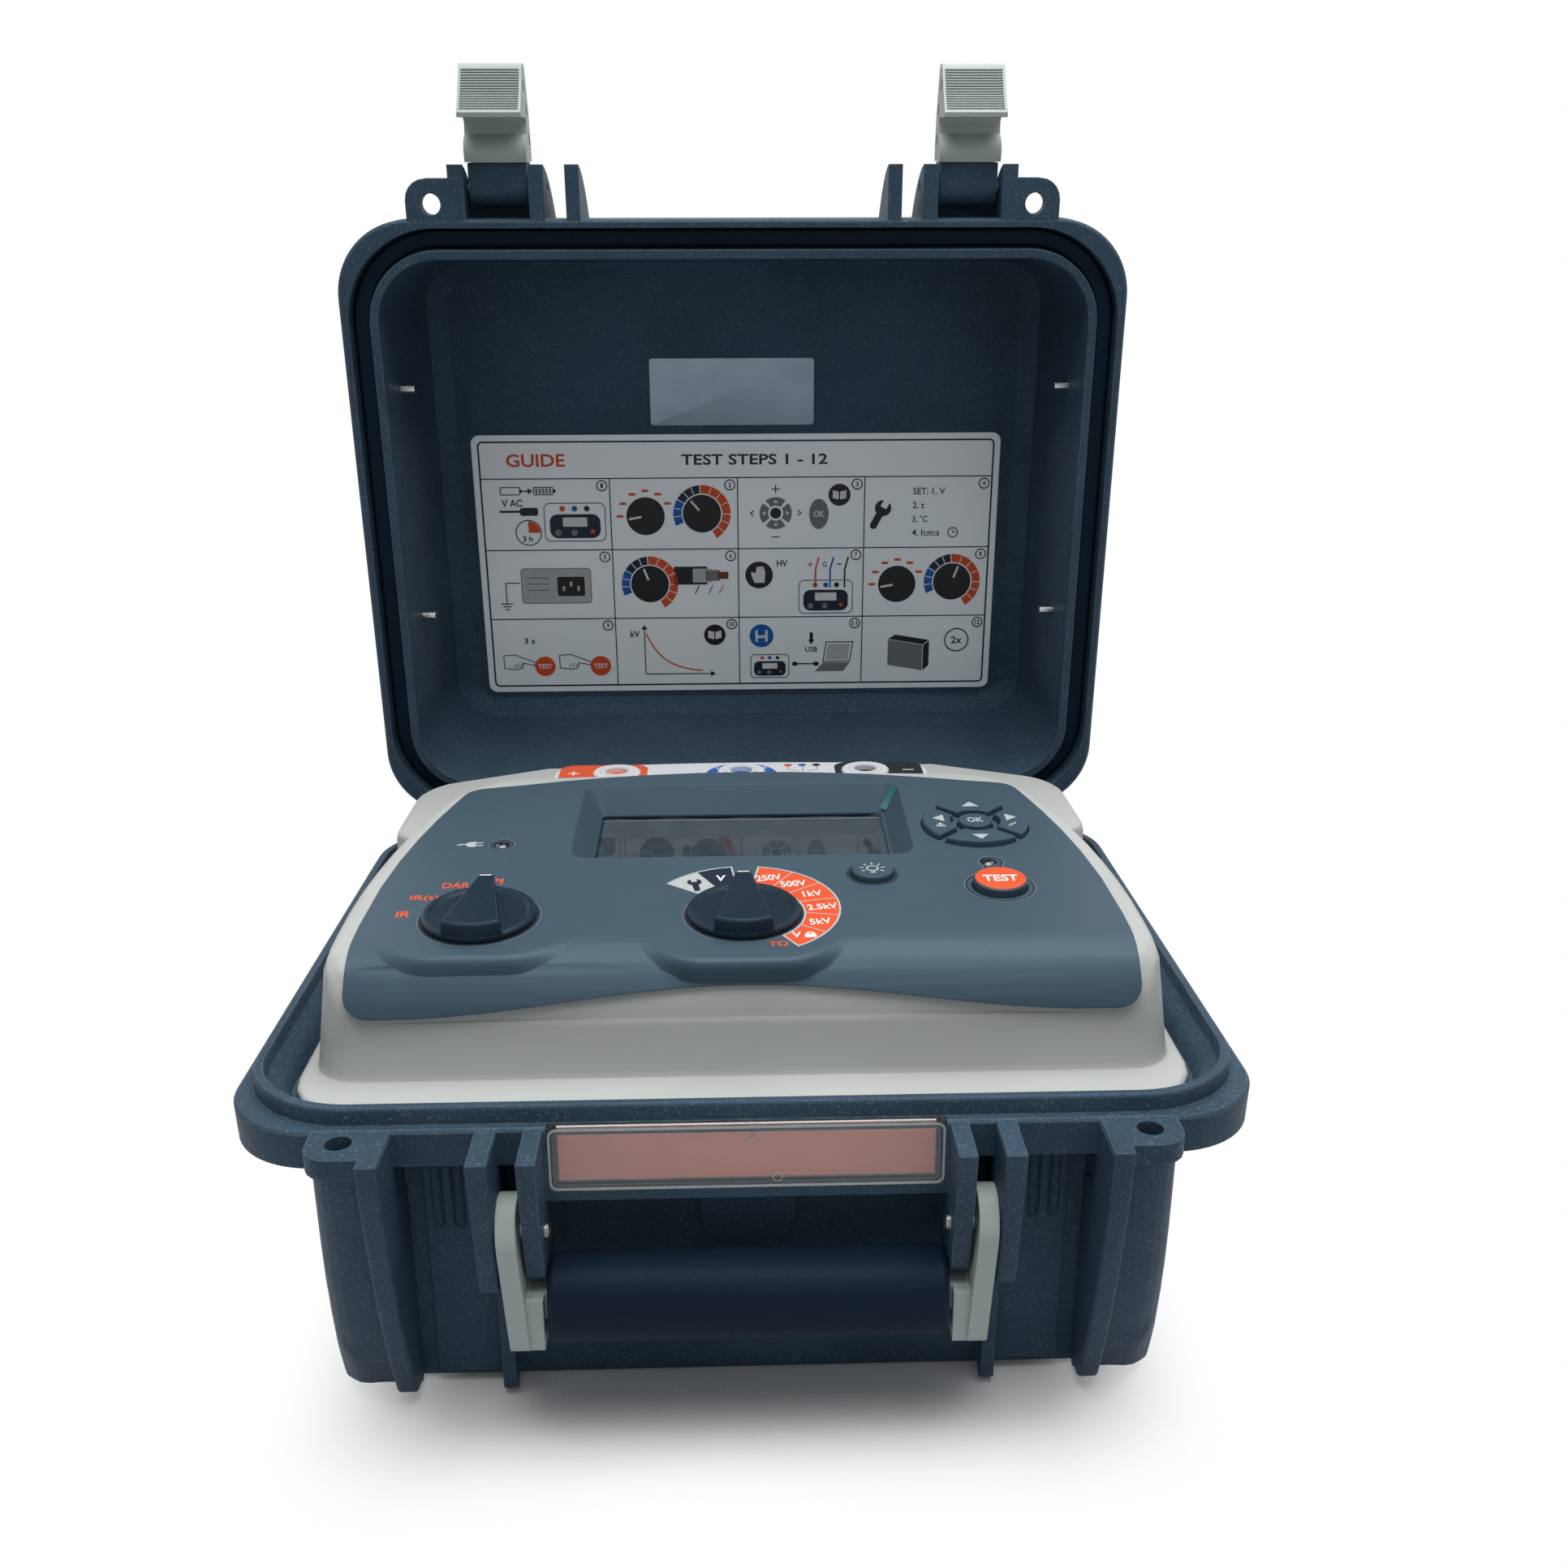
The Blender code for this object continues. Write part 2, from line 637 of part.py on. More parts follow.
def base_knuckle(x0, x1):
    """A hinge knuckle of the base with its arm and the stop that the open lid leans on."""
    y, z = HINGE_AXIS.y, HINGE_AXIS.z
    lid_back = z + HINGE_OUT * math.sin(math.radians(LID_OPEN_ANGLE)) - GAP
    rise = math.tan(math.radians(90.0 - LID_OPEN_ANGLE))
    nose = KNUCKLE_RADIUS - 1.0
    profile = arc((y, z), KNUCKLE_RADIUS, 120.0, 60.0, 4)
    profile += [(y + nose, lid_back + rise * nose), (y + STOP_REACH, lid_back + rise * STOP_REACH)]
    profile += [(y + STOP_REACH, z - 2.0), (y + 4.0, z - 14.0)]
    profile += [(HALF_D - TUB_SETBACK_Y - WALL / 2, PART_Z - HINGE_ARM_DROP)]
    profile += [(HALF_D - TUB_SETBACK_Y - WALL / 2, PART_Z - 11.0), (HALF_D - 2.0, PART_Z - 3.0)]
    profile += [(HALF_D - 2.0, PART_Z - 1.5)]
    return prism_x(profile, x0, x1)


def knuckle_spans(side):
    """The x spans of the two base knuckles of one hinge."""
    inner = LID_KNUCKLE / 2 + PARTING_GAP
    spans = [(HINGE_X - inner - BASE_KNUCKLE, HINGE_X - inner),
             (HINGE_X + inner, HINGE_X + inner + BASE_KNUCKLE)]
    return [sorted((side * a, side * b)) for a, b in spans]


def plate_block():
    front = -HALF_D + 0.2
    half = HANDLE_LUG_X + 1.0
    low = PART_Z - PLATE_HEIGHT - PLATE_LIP
    profile = [(tub_front(0.0, low) + WALL / 2, low), (front, low), (front, PART_Z - 3.0)]
    profile += [(tub_front(0.0, TUB_TOP) + WALL / 2, PART_Z - 11.0)]
    return prism_x(profile, -half, half)


def plate_half_width():
    return HANDLE_LUG_X - 1.1


def plate_pocket():
    half = plate_half_width() + GAP
    back = -HALF_D + PLATE_THICKNESS + GAP
    return box(-half, half, -HALF_D - 2.0, back, PART_Z - PLATE_HEIGHT - GAP, PART_Z + 0.8)


def wall_tab():
    """The round-ended tab on the wall under the name plate."""
    high = PART_Z - PLATE_HEIGHT - PLATE_LIP + 1.0
    radius = WALL_TAB_RADIUS
    outline = [(-radius, high)] + arc((0.0, high - 0.9 * radius), radius, 180.0, 360.0, 12)
    outline += [(radius, high)]
    wall = tub_front(0.0, high)
    return prism_y(outline, wall - 1.8, wall + WALL / 2)


def lower_rib(side):
    middle = (LUG_IN_X + 2.2) * side
    high = PART_Z - LUG_DROP + 4.0
    outer = tub_front(0.0, high) - RIB_REACH
    profile = [(tub_front(0.0, high) + WALL / 2, high), (outer, high - 6.0), (outer + 2.0, 3.0)]
    profile += [(outer + 4.0, 1.0), (tub_front(0.0, FLOOR_ROUND) + WALL / 2, FLOOR_ROUND)]
    return prism_x(profile, middle - RIB_WIDTH / 2, middle + RIB_WIDTH / 2)


def bay_pad(side):
    """The raised wall panel at the back of a latch bay."""
    wall = tub_front(0.0, TUB_TOP)
    face = wall - BAY_PAD_RISE
    profile = [(wall + WALL / 2, TUB_TOP + 1.0), (face, TUB_TOP + 1.0), (face + TUB_DRAFT, FLOOR_ROUND)]
    profile += [(wall + TUB_DRAFT + WALL / 2, FLOOR_ROUND)]
    span = sorted((side * (LUG_IN_X + LUG_WALL - 0.5), side * (LUG_OUT_X - BAY_PAD_SETBACK)))
    return prism_x(profile, *span)


def bay_flute(x):
    """A round-ended upright groove in the face of a bay pad."""
    high, low = TUB_TOP - 0.5, PART_Z - FLUTE_DROP
    face = tub_front(0.0, TUB_TOP) - BAY_PAD_RISE
    slope = TUB_DRAFT / (TUB_TOP - FLOOR_ROUND)
    loops = []
    for z, share in ((high, 1.0), (low + FLUTE_RADIUS, 1.0), (low + 0.3 * FLUTE_RADIUS, 0.72), (low, 0.2)):
        middle = face + (TUB_TOP - z) * slope - 0.4 * FLUTE_RADIUS
        loops.append([(px, py, z) for px, py in circle(x, middle, share * FLUTE_RADIUS, 12)])
    return loft(loops)


def case_base(finish):
    solid = base_shell()
    for side in (-1, 1):
        span = sorted((side * LUG_OUT_X, side * (LUG_OUT_X + LUG_WALL)))
        solid = fuse(solid, front_fin(*span, PART_Z - 5.0, 3.0))
        solid = fuse(solid, corner_column(side), ear(side, PART_Z - EAR_THICKNESS, PART_Z - 0.1))
        for lug, width in ((LUG_IN_X, LUG_WALL), (HANDLE_LUG_X, HANDLE_LUG_WALL)):
            span = sorted((side * lug, side * (lug + width)))
            solid = fuse(solid, front_fin(*span, LUG_DROP - 5.0, 5.0))
        solid = fuse(solid, lower_rib(side), bay_pad(side))
        for shift in (-FLUTE_SPACING / 2, FLUTE_SPACING / 2):
            solid = cut_out(solid, bay_flute(side * LATCH_X + shift))
        for x0, x1 in knuckle_spans(side):
            solid = fuse(solid, base_knuckle(x0, x1))
    solid = fuse(solid, plate_block(), wall_tab())
    solid = cut_out(solid, plate_pocket())
    pin_hole = HANDLE_PIN_RADIUS + PIN_CLEARANCE
    hinge_hole = HINGE_PIN_RADIUS + PIN_CLEARANCE
    for side in (-1, 1):
        solid = cut_out(solid, ear_hole(side, PART_Z - 18.0, PART_Z + 2.0))
        span = sorted((side * (HANDLE_LUG_X - 2.0), side * (LUG_IN_X + LUG_WALL + 1.0)))
        solid = cut_out(solid, rod_x(*span, HANDLE_PIVOT.y, HANDLE_PIVOT.z, pin_hole))
        reach = LID_KNUCKLE / 2 + PARTING_GAP + BASE_KNUCKLE + 2.0
        span = sorted((side * (HINGE_X - reach), side * (HINGE_X + reach)))
        solid = cut_out(solid, rod_x(*span, HINGE_AXIS.y, HINGE_AXIS.z, hinge_hole))
    return make("case_base", solid, finish)


# Lid, modelled closed and hung on a frame that opens about the hinge axis

def lid_wall(z):
    """Distance of the lid's outer wall from the rim edge at a height above the parting ledge."""
    span = LID_HEIGHT - LID_TOP_ROUND - LID_BAND - 4.0
    return LID_STEP + LID_DRAFT * min(max((z - LID_BAND - 4.0) / span, 0.0), 1.0)


def lid_shell():
    top = PART_Z + LID_HEIGHT
    ledge = LID_Z
    groove = LEDGE_WIDTH - 0.2
    lip = groove + GROOVE_WIDTH
    inner = lip + LIP_WIDTH
    ceiling = top - LID_TOP
    turn = LID_STEP + LID_DRAFT
    round_off = LID_TOP_ROUND
    return loft([
        rim_loop(turn + round_off, top),
        rim_loop(turn + 0.42 * round_off, top - 0.10 * round_off),
        rim_loop(turn + 0.12 * round_off, top - 0.42 * round_off),
        rim_loop(turn, top - round_off),
        rim_loop(LID_STEP, PART_Z + LID_BAND + 4.0),
        edge_loop(1.0, PART_Z + LID_BAND + 1.0),
        edge_loop(0.0, PART_Z + LID_BAND),
        edge_loop(0.0, ledge + 1.0),
        edge_loop(1.0, ledge),
        rim_loop(groove, ledge),
        rim_loop(groove + 0.2, ledge + GROOVE_DEPTH),
        rim_loop(lip - 0.2, ledge + GROOVE_DEPTH),
        rim_loop(lip, ledge + 0.8),
        rim_loop(inner, ledge + 0.8),
        rim_loop(inner + 0.6, ledge + 5.0),
        rim_loop(turn + LID_WALL, ceiling - 1.5 * round_off),
        rim_loop(turn + LID_WALL + 0.3 * round_off, ceiling - 0.4 * round_off),
        rim_loop(turn + LID_WALL + round_off, ceiling),
    ])


def lid_fin(x0, x1, rise):
    """A lug of the lid's front wall, whose outer edge bows back towards the lid's top."""
    low = LID_Z + 0.2
    reach = FIN_REACH + 0.6
    profile = [(-HALF_D + 2.0, low)]
    for k in range(8):
        share = k / 7
        wall = -HALF_D + LID_STEP
        left = 1.0 - 0.2 * share - 0.6 * share ** 2
        profile.append((wall - (reach + LID_STEP) * left, low + rise * share))
    profile.append((-HALF_D + lid_wall(rise) + LID_WALL / 2, low + rise + 6.0))
    profile.append((-HALF_D + lid_wall(LID_BAND + 4.0) + LID_WALL / 2, PART_Z + LID_BAND + 8.0))
    profile.append((-HALF_D + 2.0, PART_Z + LID_BAND - 3.0))
    return prism_x(profile, x0, x1)


def latch_web(side):
    """The web between the latch lugs that stops the open latch."""
    low = LATCH_PIVOT.z + 8.6
    span = sorted((side * (LUG_IN_X + LUG_WALL - 0.5), side * (LUG_OUT_X + 0.5)))
    return box(*span, -HALF_D - 9.0, -HALF_D + LID_STEP + LID_WALL / 2, low, low + 2.6)


def lid_knuckle(side):
    y, z = HINGE_AXIS.y, HINGE_AXIS.z
    profile = arc((y, z), KNUCKLE_RADIUS, 190.0, 440.0, 10)
    profile += [(HALF_D - 2.0, PART_Z + LID_BAND - 1.5), (HALF_D - 2.0, LID_Z + 1.2)]
    middle = side * HINGE_X
    return prism_x(profile, middle - LID_KNUCKLE / 2, middle + LID_KNUCKLE / 2)


def lid_screw_places():
    return [(side, y) for side in (-1, 1) for y in (LID_SCREW_FRONT, LID_SCREW_REAR)]


def case_lid(finish, frame):
    solid = lid_shell()
    for side in (-1, 1):
        for x0, width, rise in ((LUG_OUT_X, LUG_WALL, LID_OUTER_RISE), (LUG_IN_X, LUG_WALL, LID_LUG_RISE),
                                (HANDLE_LUG_X, HANDLE_LUG_WALL, LID_LUG_RISE)):
            solid = fuse(solid, lid_fin(*sorted((side * x0, side * (x0 + width))), rise))
        solid = fuse(solid, ear(side, LID_Z + 0.1, LID_Z + EAR_THICKNESS))
        solid = fuse(solid, latch_web(side), lid_knuckle(side))
    for side in (-1, 1):
        solid = cut_out(solid, ear_hole(side, PART_Z - 2.0, PART_Z + EAR_THICKNESS + 3.0))
        span = sorted((side * (LUG_IN_X - 1.0), side * (LUG_OUT_X + LUG_WALL + 1.0)))
        hole = LATCH_PIN_RADIUS + PIN_CLEARANCE
        solid = cut_out(solid, rod_x(*span, LATCH_PIVOT.y, LATCH_PIVOT.z, hole, 12))
        middle = side * HINGE_X
        reach = LID_KNUCKLE / 2 + 2.0
        solid = cut_out(solid, rod_x(middle - reach, middle + reach, HINGE_AXIS.y, HINGE_AXIS.z,
                                     HINGE_PIN_RADIUS + PIN_CLEARANCE, 12))
    for side, y in lid_screw_places():
        span = sorted((side * (HALF_W - LID_STEP - 14.0), side * (HALF_W + 2.0)))
        hole = LID_SCREW_RADIUS + PIN_CLEARANCE
        solid = cut_out(solid, rod_x(*span, y, PART_Z + LID_SCREW_RISE, hole, 10))
    return make("case_lid", solid, finish, HINGE_AXIS, frame, (0.0, 0.0, 0.0))


def lid_gasket(finish, frame):
    """The seal ring in the lid's groove, which closes on the base's tongue."""
    high = LID_Z + GROOVE_DEPTH - GAP
    low = high - GASKET_HEIGHT
    outer = LEDGE_WIDTH + 0.6
    inner = LEDGE_WIDTH + GROOVE_WIDTH - 1.0
    solid = bmesh.new()
    rows = [[solid.verts.new(p) for p in rim_loop(inset, z)]
            for inset, z in ((outer, low + 0.8), (outer + 0.8, low), (inner - 0.8, low), (inner, low + 0.8),
                             (inner, high), (outer, high))]
    for low_row, high_row in zip(rows, rows[1:] + rows[:1]):
        for i in range(len(low_row)):
            j = (i + 1) % len(low_row)
            solid.faces.new((low_row[i], low_row[j], high_row[j], high_row[i]))
    bmesh.ops.recalc_face_normals(solid, faces=solid.faces)
    return make("lid_gasket", solid, finish, HINGE_AXIS, frame, (0.0, 0.0, 0.0))


def lid_screws(finish, frame):
    for k, (side, y) in enumerate(lid_screw_places()):
        z = PART_Z + LID_SCREW_RISE
        wall = HALF_W - lid_wall(LID_SCREW_RISE)
        head = rod_x(*sorted((side * (wall + GAP), side * (wall + 2.4))), y, z, LID_SCREW_HEAD, 12)
        inner_wall = HALF_W - LID_STEP - LID_DRAFT - LID_WALL
        span = sorted((side * (inner_wall - LID_SCREW_TIP), side * (wall + 1.2)))
        shank = rod_x(*span, y, z, LID_SCREW_RADIUS, 10)
        make(f"lid_screw_{k + 1}", fuse(head, shank), finish, HINGE_AXIS, frame, (0.0, 0.0, 0.0))


# Latches

def latch_profile():
    """Cross-section of a closed latch lever about its pivot: y to the case, z up."""
    hook = -(LATCH_PIVOT_UP + SKIRT_HEIGHT + 0.6)
    catch = LATCH_PIVOT_OUT + LATCH_THICKNESS
    end = hook - LATCH_TAIL
    top = -LATCH_LEAF - GAP
    t = LATCH_THICKNESS
    profile = [(t, top), (1.125 * t, top - 0.325 * t), (1.1 * t, top - 0.675 * t), (0.875 * t, top - t)]
    profile += [(0.425 * t, hook + 0.725 * t), (0.325 * t, hook + 0.2 * t), (0.55 * t, hook), (catch, hook)]
    profile += [(catch + 0.04 * t, hook - 0.21 * t), (1.625 * t, hook - 1.06 * t)]
    profile += [(0.825 * t, end + 0.175 * t), (0.575 * t, end), (0.15 * t, end)]
    profile += [(-0.175 * t, end + 0.275 * t)]
    profile += [(-0.8 * t, end + 2.125 * t), (-t, top - 0.75 * t), (-t, top)]
    return profile


def leaf_profile():
    """Cross-section of the latch's hinge leaf: a barrel round the pin with a flat end for the lever."""
    profile = arc((0.0, 0.0), 6.6, 190.0, -10.0, 10)
    profile += [(5.6, -LATCH_LEAF), (-6.8, -LATCH_LEAF)]
    return profile


def latches(finish, leaf_finish, pin_finish, frame):
    for side, word in ((-1, "left"), (1, "right")):
        pivot = Vector((side * LATCH_PIVOT.x, LATCH_PIVOT.y, LATCH_PIVOT.z))
        half = LATCH_WIDTH / 2
        turn = -math.radians(LATCH_OPEN_ANGLE)
        lever = prism_x(latch_profile(), -half, half)
        make(f"latch_{word}", lever, finish, (0.0, 0.0, 0.0), frame, pivot - HINGE_AXIS, turn)
        leaf = prism_x(leaf_profile(), -half + 0.6, half - 0.6)
        leaf = cut_out(leaf, rod_x(-half - 1.0, half + 1.0, 0.0, 0.0, LATCH_PIN_RADIUS + PIN_CLEARANCE, 12))
        make(f"latch_leaf_{word}", leaf, leaf_finish, (0.0, 0.0, 0.0), frame, pivot - HINGE_AXIS, turn)
        span = sorted((side * (LUG_IN_X + 0.5), side * (LUG_OUT_X + LUG_WALL - 0.5)))
        pin = rod_x(*span, pivot.y, pivot.z, LATCH_PIN_RADIUS, 12)
        make(f"latch_pin_{word}", pin, pin_finish, HINGE_AXIS, frame, (0.0, 0.0, 0.0))


# Handle, hanging down from its pins

def arm_profile():
    y, z = HANDLE_PIVOT.y, HANDLE_PIVOT.z
    foot = z - ARM_LENGTH
    profile = arc((y, z), ARM_RADIUS, 180.0, 0.0, 10)
    profile += fillet([(y + 8.0, foot, 2.0), (y - 9.5, foot, 3.0), (y - ARM_RADIUS, z - 6.0, 0.0)], 3)[:-1]
    return profile


def grip_section(depth, height, steps=18):
    """A rounded grip section round its middle, flatter than an ellipse."""
    middle_y, middle_z = HANDLE_PIVOT.y, HANDLE_PIVOT.z - GRIP_DROP
    points = []
    for k in range(steps):
        a = math.tau * k / steps
        c, s = math.cos(a), math.sin(a)
        points.append((middle_y + depth / 2 * math.copysign(abs(c) ** 0.7, c),
                       middle_z + height / 2 * math.copysign(abs(s) ** 0.7, s)))
    return points


def handle(arm_finish, grip_finish, pin_finish):
    middle_z = HANDLE_PIVOT.z - GRIP_DROP
    y = HANDLE_PIVOT.y
    arm_in = HANDLE_LUG_X + HANDLE_LUG_WALL + 1.5
    arm_out = LUG_IN_X - 0.8
    grip_half = HANDLE_LUG_X - 0.6
    core = CORE_SIZE / 2
    frame = box(-arm_in - 1.0, arm_in + 1.0, y - core, y + core, middle_z - core, middle_z + core)
    for side in (-1, 1):
        arm = prism_x(arm_profile(), *sorted((side * arm_in, side * arm_out)))
        for point in arm.verts:
            point.co.x -= side * ARM_LEAN * (HANDLE_PIVOT.z - point.co.z) / ARM_LENGTH
        frame = fuse(frame, arm)
        foot = HANDLE_PIVOT.z - ARM_LENGTH + 0.4
        shoulder = box(*sorted((side * (grip_half + 1.4), side * (arm_in + 1.0))), y - 8.0, y + 7.0, foot,
                       PART_Z - LUG_DROP - 2.5)
        frame = fuse(frame, shoulder)
    hole = HANDLE_PIN_RADIUS + PIN_CLEARANCE
    for side in (-1, 1):
        span = sorted((side * (arm_in - 1.0), side * (arm_out + 1.0)))
        frame = cut_out(frame, rod_x(*span, y, HANDLE_PIVOT.z, hole))
    make("handle_frame", frame, arm_finish, HANDLE_PIVOT)
    sections = [(-grip_half, 0.90), (-grip_half + 1.5, 1.0), (grip_half - 1.5, 1.0), (grip_half, 0.90)]
    grip = loft([[(x, py, pz) for py, pz in grip_section(GRIP_DEPTH * share, GRIP_HEIGHT * share)]
                 for x, share in sections])
    bore = core + GAP
    grip = cut_out(grip, box(-grip_half - 5.0, grip_half + 5.0, y - bore, y + bore,
                             middle_z - bore, middle_z + bore))
    make("handle_grip", grip, grip_finish, HANDLE_PIVOT)
    for side, word in ((-1, "left"), (1, "right")):
        span = sorted((side * (HANDLE_LUG_X - 0.6), side * (LUG_IN_X + LUG_WALL - 0.5)))
        pin = rod_x(*span, y, HANDLE_PIVOT.z, HANDLE_PIN_RADIUS)
        make(f"handle_pin_{word}", pin, pin_finish, HANDLE_PIVOT)


def name_plate(insert_finish, cover_finish):
    half = plate_half_width()
    low, high = PART_Z - PLATE_HEIGHT, PART_Z - 0.2
    front, back = -HALF_D, -HALF_D + PLATE_THICKNESS
    cover = box(-half, half, front, back, low, high)
    edge = PLATE_FRAME
    seat = back - INSERT_THICKNESS - GAP
    cover = cut_out(cover, box(-half + edge, half - edge, seat, back + 1.0, low + edge, high - edge))
    make("name_plate_cover", cover, cover_finish)
    edge += GAP
    insert = box(-half + edge, half - edge, seat + GAP, back, low + edge, high - edge)
    make("name_plate", insert, insert_finish)


def hinge_pins(finish):
    for side, word in ((-1, "left"), (1, "right")):
        reach = LID_KNUCKLE / 2 + PARTING_GAP + BASE_KNUCKLE - 0.5
        middle = side * HINGE_X
        pin = rod_x(middle - reach, middle + reach, HINGE_AXIS.y, HINGE_AXIS.z, HINGE_PIN_RADIUS, 14)
        make(f"hinge_pin_{word}", pin, finish, HINGE_AXIS)


# Panel housing: flange, swept console and rear deck in one hollow moulding

def console_matrix():
    return Matrix.Translation(CONSOLE_ORIGIN) @ Matrix.Rotation(TILT, 4, "X")


def side_curve(half, sweep, row):
    """Half width of a swept side: straight in front, drawing in towards the rear ridge."""
    return half - sweep * (max(row, 0.0) / (RIDGE_ROW - REAR_CORNER)) ** 2


def console_outline(inset, front):
    """Right half of the console's plan, from its front middle to its rear middle."""
    half = CONSOLE_HALF - inset
    rear = RIDGE_ROW - inset
    end = RIDGE_ROW - REAR_CORNER
    corner = FRONT_CORNER - inset
    points = [(0.0, front), (half - corner, front)]
    points += arc((half - corner, front + corner), corner, -90.0, 0.0, CORNER_STEPS)[1:]
    first = front + corner
    points += [(side_curve(half, SIDE_SWEEP, first + (end - first) * k / 8), first + (end - first) * k / 8)
               for k in range(1, 9)]
    start = Vector(points[-1])
    knee = Vector((start.x - 0.3 * REAR_CORNER, rear - 5.0))
    finish = Vector((start.x - 1.1 * REAR_CORNER, rear - 3.5))
    for k in range(1, 7):
        t = k / 6
        point = start * (1 - t) ** 2 + knee * 2 * t * (1 - t) + finish * t ** 2
        points.append((point.x, point.y))
    points += [(finish.x * (1 - k / 4), rear - 3.5 * (1 - k / 4) ** 2) for k in range(1, 5)]
    return points


def roll_drop(row, radius):
    over = min(max(ROLL_START - row, 0.0), radius)
    return radius - math.sqrt(radius ** 2 - over ** 2)


def edge_drop(distance, radius):
    short = max(radius - distance, 0.0)
    return radius - math.sqrt(max(radius ** 2 - short ** 2, 0.0))


def console_solid(inset, sink, low, holes=()):
    """The console as a solid: a flat tilted top that rolls down in front and is rounded at its edges."""
    radius = ROLL_RADIUS - sink
    front = ROLL_START - radius * math.sin(math.radians(80.0))
    right = console_outline(inset, front)
    outline = mirrored(right)
    rim = right[1:]
    rim = rim + [(-x, row) for x, row in reversed(rim[:-1])]
    edge = EDGE_ROUND
    rows = [ROLL_START - radius * math.sin(math.radians(a)) for a in (0, 16, 32, 46, 58, 70)]
    lines = [inset_path(rim, 0.25 * edge), inset_path(rim, edge)]
    lines += [[(-CONSOLE_HALF - 5.0, row), (CONSOLE_HALF + 5.0, row)] for row in rows]
    spread = CONSOLE_DRAFT / CONSOLE_HALF
    middle = (front + RIDGE_ROW) / 2

    def top(x, row):
        drop = sink + roll_drop(row, radius) + edge_drop(distance_to_path((x, row), rim), edge)
        return x, row, -drop

    def bottom(x, row):
        wide = x * (1.0 + spread)
        deep = middle + (row - middle) * (1.0 + 2.0 * CONSOLE_DRAFT / (RIDGE_ROW - front))
        down = (low - CONSOLE_ORIGIN.z - deep * math.sin(TILT)) / math.cos(TILT)
        return wide, deep, down

    return moved(slab(outline, top, bottom, holes, lines), console_matrix())


def deck_solid(inset, sink, low):
    """The deck behind the console, which rises from its sides to a flat middle for the terminals."""
    half = HALF_W - DECK_SIDE_SETBACK - inset
    front, rear = HALF_D - DECK_FRONT_SETBACK + inset, HALF_D - DECK_REAR_SETBACK - inset
    corner = DECK_CORNER - inset
    outline = rounded_rect(-half, half, front, rear, corner)
    flat = TERMINAL_PLATE_HALF + 4.0
    edge = 3.0
    lines = [rounded_rect(-half + d, half - d, front + d, rear - d, corner - d)
             for d in (0.25 * edge, edge)]
    lines = [line + line[:1] for line in lines]
    lines += [[(side * flat, front - 5.0), (side * flat, rear + 5.0)] for side in (-1, 1)]

    def top(x, y):
        rise = (half - max(abs(x), flat)) / (half - flat)
        away = -rect_distance((x, y), -half, half, front, rear, corner)
        height = DECK_EDGE_RISE + (DECK_TOP_RISE - DECK_EDGE_RISE) * rise - sink
        return x, y, PART_Z + height - edge_drop(max(away, 0.0), edge)

    return slab(outline, top, lambda x, y: (x, y, low), (), lines)


def key_places():
    """Round keys and lights of the fascia: x, row and radius."""
    return {"backlight": (BACKLIGHT_X, BACKLIGHT_ROW, BACKLIGHT_RADIUS),
            "test": (TEST_X, TEST_ROW, TEST_RADIUS),
            "test_led": (NAV_X, TEST_LED_ROW, LED_RADIUS),
            "power_led": (POWER_LED_X, POWER_LED_ROW, LED_RADIUS)}


def knob_places():
    return {"mode": (-KNOB_SPACING, KNOB_ROW), "range": (0.0, KNOB_ROW)}


def housing_holes():
    """Openings of the console top under the fascia."""
    room = 0.8
    half = WELL_HALF_WIDTH + room
    holes = [rounded_rect(-half, half, WELL_FRONT - room, WELL_REAR + room, WELL_CORNER + room)]
    holes.append(circle(NAV_X, NAV_ROW, NAV_RADIUS + KEY_CLEARANCE + 0.3))
    holes += [circle(x, row, radius + room, 16) for x, row, radius in key_places().values()]
    holes += [circle(x, row, SPINDLE_RADIUS + room, 12) for x, row in knob_places().values()]
    return holes


def board_posts():
    """Places of the posts that carry the main board and of those that carry the keypad board."""
    inner = BOARD_HALF_WIDTH - POST_INSET
    main = [(side * inner, row) for side in (-1, 1) for row in (BOARD_FRONT + 7.0, BOARD_REAR - 7.0)]
    keypad = [(NAV_X + 17.0, TEST_ROW), (NAV_X + 13.0, NAV_ROW + NAV_RADIUS + 1.5)]
    return main, keypad


def inlet_box(extra, depth_in, depth_out):
    """A box on the console's left flank round the mains inlet."""
    y = CONSOLE_ORIGIN.y + INLET_ROW
    z = PART_Z + INLET_RISE
    x = -INLET_FACE
    return box(x - depth_out, x + depth_in, y - INLET_LENGTH / 2 - extra, y + INLET_LENGTH / 2 + extra,
               z - INLET_HEIGHT / 2 - extra, z + INLET_HEIGHT / 2 + extra)


